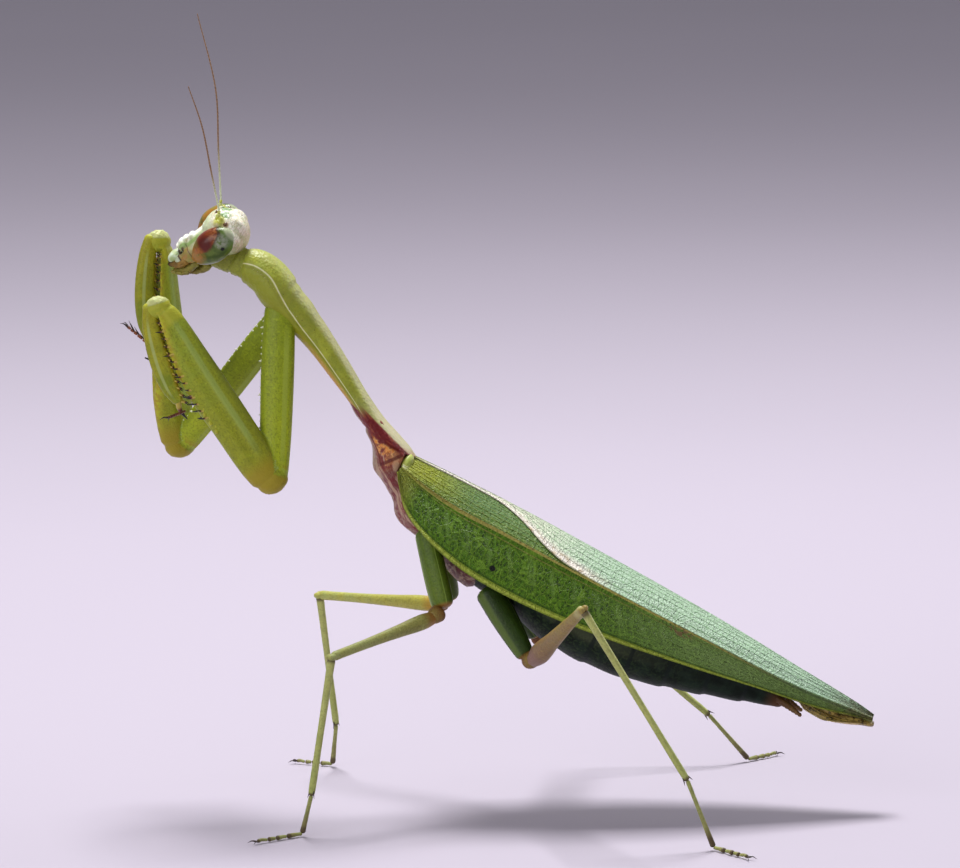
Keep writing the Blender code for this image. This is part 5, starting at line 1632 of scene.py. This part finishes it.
def neck_skin():
    """The soft neck, from the back of the head into the front of the shell."""
    start, end = HEAD @ Vector((0.0, -1.45, -1.0)), ROOT + Vector((-15.4, 0.0, 18.5))
    stations = [(start, 1.6, 1.75), (start.lerp(end, 0.35), 1.5, 1.65), (start.lerp(end, 0.7), 1.35, 1.45),
                (end, 1.4, 1.45)]
    return loft(stations, Y, sides=48, count=60, ends=(0.2, 0.2), relief=neck_relief)


class MANTIS_OT_head(bpy.types.Operator):
    """Builds the head capsule, the mouth, the compound eyes, the simple eyes and the neck"""

    bl_idname = "mantis.head"
    bl_label = "Head"

    def execute(self, context):
        finish_piece("head_capsule", head_lump(), [head_look()], ["head"], HEAD, 80)
        jaw = limb_look("mandible", (0.30, 0.17, 0.03), JAW_BLACK, 0.3)
        lips = limb_look("palp", (0.24, 0.22, 0.035), (0.20, 0.13, 0.03), 0.6)
        finish_piece("mouth", gather(mouth_parts()), [jaw, lips], ["mouthparts"], HEAD)
        facets = eye_look()
        for side, sign in (("left", -1), ("right", 1)):
            finish_piece("compound_eye_" + side, drop(sign), [facets], ["eye_" + side], HEAD)
        beads = [ball(mirrored(spot, sign), (0.2, 0.17, 0.22), segments=16, rings=12) for spot, sign in SIMPLE_EYES]
        finish_piece("simple_eyes", gather(beads), [simple_eye_look()], None, HEAD)
        skin = limb_look("neck skin", (0.24, 0.26, 0.03), (0.28, 0.30, 0.03), 0.5)
        finish_piece("neck_skin", neck_skin(), [skin], ["neck"])
        return {"FINISHED"}


# --- feelers ---

# Shares of the boxes of the feelers' CAD nodes, the way each feeler leaves the head, and its count of rings.
FEELER_TIPS = {"left": (0.05, 0.06, 0.985), "right": (0.04, 0.95, 0.99)}
FEELER_MIDDLES = {"left": (0.42, 0.45, 0.66), "right": (0.62, 0.6, 0.6)}
FEELER_LEAN = {"left": (0.2, 0.0, 1.0), "right": (0.1, 0.0, 1.0)}
FEELER_RINGS = 46


def feeler_look():
    """Pale green near the head and brown beyond, with dark rings."""
    hue = colours().feeler
    look = Look("feeler", Roughness=0.45)
    share = look.attribute("share")
    rings = (share * FEELER_RINGS).fract()
    look.colour = look.mix(share.step(0.05, 0.35), (0.62, 0.68, 0.42), hue)
    look.coat(rings.band(0.5, 0.3) * share.step(0.15, 0.5) * 0.4, shade(hue, 0.4))
    look.bump(rings.band(0.5, 0.4), 0.03)
    return look.paint()


def feeler_relief(share, across, upward):
    """Fine rings down the whip."""
    return 0.005 * sin(share * tau * FEELER_RINGS)


def feeler(side, sign):
    """A feeler: two thick joints at the head in slot 1, and a long whip in slot 0."""
    node = "antenna_" + side
    tip, middle = at(node, *FEELER_TIPS[side]), at(node, *FEELER_MIDDLES[side])
    base, away = HEAD @ mirrored(FEELER_BASE, sign), Vector(FEELER_LEAN[side]).normalized()
    start = base + away * 0.92
    whip = [(start, 0.1, 0.1), (start.lerp(middle, 0.45), 0.09, 0.09), (middle, 0.08, 0.08), (tip, 0.05, 0.05)]
    return gather([
        tube([base, base + away * 0.7], [0.29, 0.24], Y, sides=20, count=14, ends=(0.2, 0.2), slot=1),
        tube([base + away * 0.66, base + away * 1.0], [0.15, 0.16], Y, sides=16, count=8, ends=(0.1, 0.1), slot=1),
        loft(whip, Y, sides=10, count=240, ends=(0.05, 0.1), relief=feeler_relief),
    ])


class MANTIS_OT_feelers(bpy.types.Operator):
    """Builds the two long ringed antennae"""

    bl_idname = "mantis.feelers"
    bl_label = "Feelers"

    def execute(self, context):
        looks = [feeler_look(), limb_look("feeler root", (0.50, 0.52, 0.03), (0.58, 0.64, 0.30), 0.1)]
        for side, sign in (("left", -1), ("right", 1)):
            finish_piece("feeler_" + side, feeler(side, sign), looks, ["antenna_" + side])
        return {"FINISHED"}


# --- stage ---

LENS, AZIMUTH, ELEVATION, CAMERA_DISTANCE = 225.0, radians(5.0), radians(8.5), 0.6
AIM = Vector((-0.00168, -0.00075, 0.0376))  # from the middle of the box's underside
SKY, SKY_STRENGTH = (0.80, 0.80, 0.86), 0.42
# From the middle of the box: (name, place, size, power).
LIGHTS = (("key", (-0.06, 0.16, 0.46), 0.16, 3.4), ("fill", (-0.35, -0.45, 0.25), 0.35, 1.3),
          ("rim", (0.42, 0.30, 0.22), 0.3, 1.0))


def put(name, data, place=(0, 0, 0), towards=None):
    """Adds an object to the scene, turned to face along a direction if one is given."""
    thing = bpy.data.objects.new(name, data)
    thing.location = place
    if towards:
        thing.rotation_euler = towards.to_track_quat("-Z", "Y").to_euler()
    bpy.context.scene.collection.objects.link(thing)
    return thing


def floor_look():
    """Plain paper in a pale tone."""
    hue = colours().floor
    look = Look("floor paper", Roughness=0.6)
    soft = look.noise(look.place(), 0.004, 2.0)
    look.colour = look.mix(soft.step(0.3, 0.7), shade(hue, 0.97), hue)
    return look.paint()


class MANTIS_OT_stage(bpy.types.Operator):
    """Builds the plain floor, the soft lights and the camera"""

    bl_idname = "mantis.stage"
    bl_label = "Stage"

    def execute(self, context):
        bm = bmesh.new()
        bmesh.ops.create_grid(bm, x_segments=1, y_segments=1, size=4.0)
        mesh = bpy.data.meshes.new("floor")
        bm.to_mesh(mesh)
        bm.free()
        mesh.materials.append(floor_look())
        floor = put("floor", mesh)
        world = bpy.data.worlds.new("studio")
        world.use_nodes = True
        sky = world.node_tree.nodes["Background"].inputs
        sky["Color"].default_value, sky["Strength"].default_value = (*SKY, 1.0), SKY_STRENGTH
        context.scene.world = world
        low, high = CAD_BOX
        middle = (low + high) / 2
        for name, place, size, power in LIGHTS:
            light = bpy.data.lights.new(name, "AREA")
            light.energy = power
            light.size = size
            put(name, light, middle + Vector(place), -Vector(place))
        camera = bpy.data.cameras.new("camera")
        camera.lens = LENS
        camera.sensor_width = 36.0
        camera.clip_start = 0.01
        camera.clip_end = 20.0
        back = Vector((sin(AZIMUTH) * cos(ELEVATION), -cos(AZIMUTH) * cos(ELEVATION), sin(ELEVATION)))
        target = Vector((middle.x, middle.y, low.z)) + AIM
        context.scene.camera = put("camera", camera, target + back * CAMERA_DISTANCE, -back)
        context.scene.view_settings.view_transform = "Standard"
        return {"FINISHED"}


class MANTIS_PT_panel(bpy.types.Panel):
    """Lists the steps that build the mantis"""

    bl_label = "Praying Mantis"
    bl_idname = "MANTIS_PT_panel"
    bl_space_type = "VIEW_3D"
    bl_region_type = "UI"
    bl_category = "Mantis"

    def draw(self, context):
        for step in STEPS:
            self.layout.operator(step.bl_idname)
        for group in (context.scene.mantis_colours, context.scene.mantis_sizes):
            for name in group.bl_rna.properties.keys():
                if name not in ("rna_type", "name"):
                    self.layout.prop(group, name)


STEPS = (MANTIS_OT_stage, MANTIS_OT_body, MANTIS_OT_wings, MANTIS_OT_walking_legs, MANTIS_OT_forelegs, MANTIS_OT_head,
         MANTIS_OT_feelers)
CLASSES = (MantisColours, MantisSizes, *STEPS, MANTIS_PT_panel)


def register():
    for entry in CLASSES:
        bpy.utils.register_class(entry)
    bpy.types.Scene.mantis_colours = PointerProperty(type=MantisColours)
    bpy.types.Scene.mantis_sizes = PointerProperty(type=MantisSizes)


def unregister():
    del bpy.types.Scene.mantis_colours
    del bpy.types.Scene.mantis_sizes
    for entry in reversed(CLASSES):
        bpy.utils.unregister_class(entry)


def main():
    register()
    for step in STEPS:
        group, name = step.bl_idname.split(".")
        getattr(getattr(bpy.ops, group), name)()


if __name__ == "__main__":
    main()
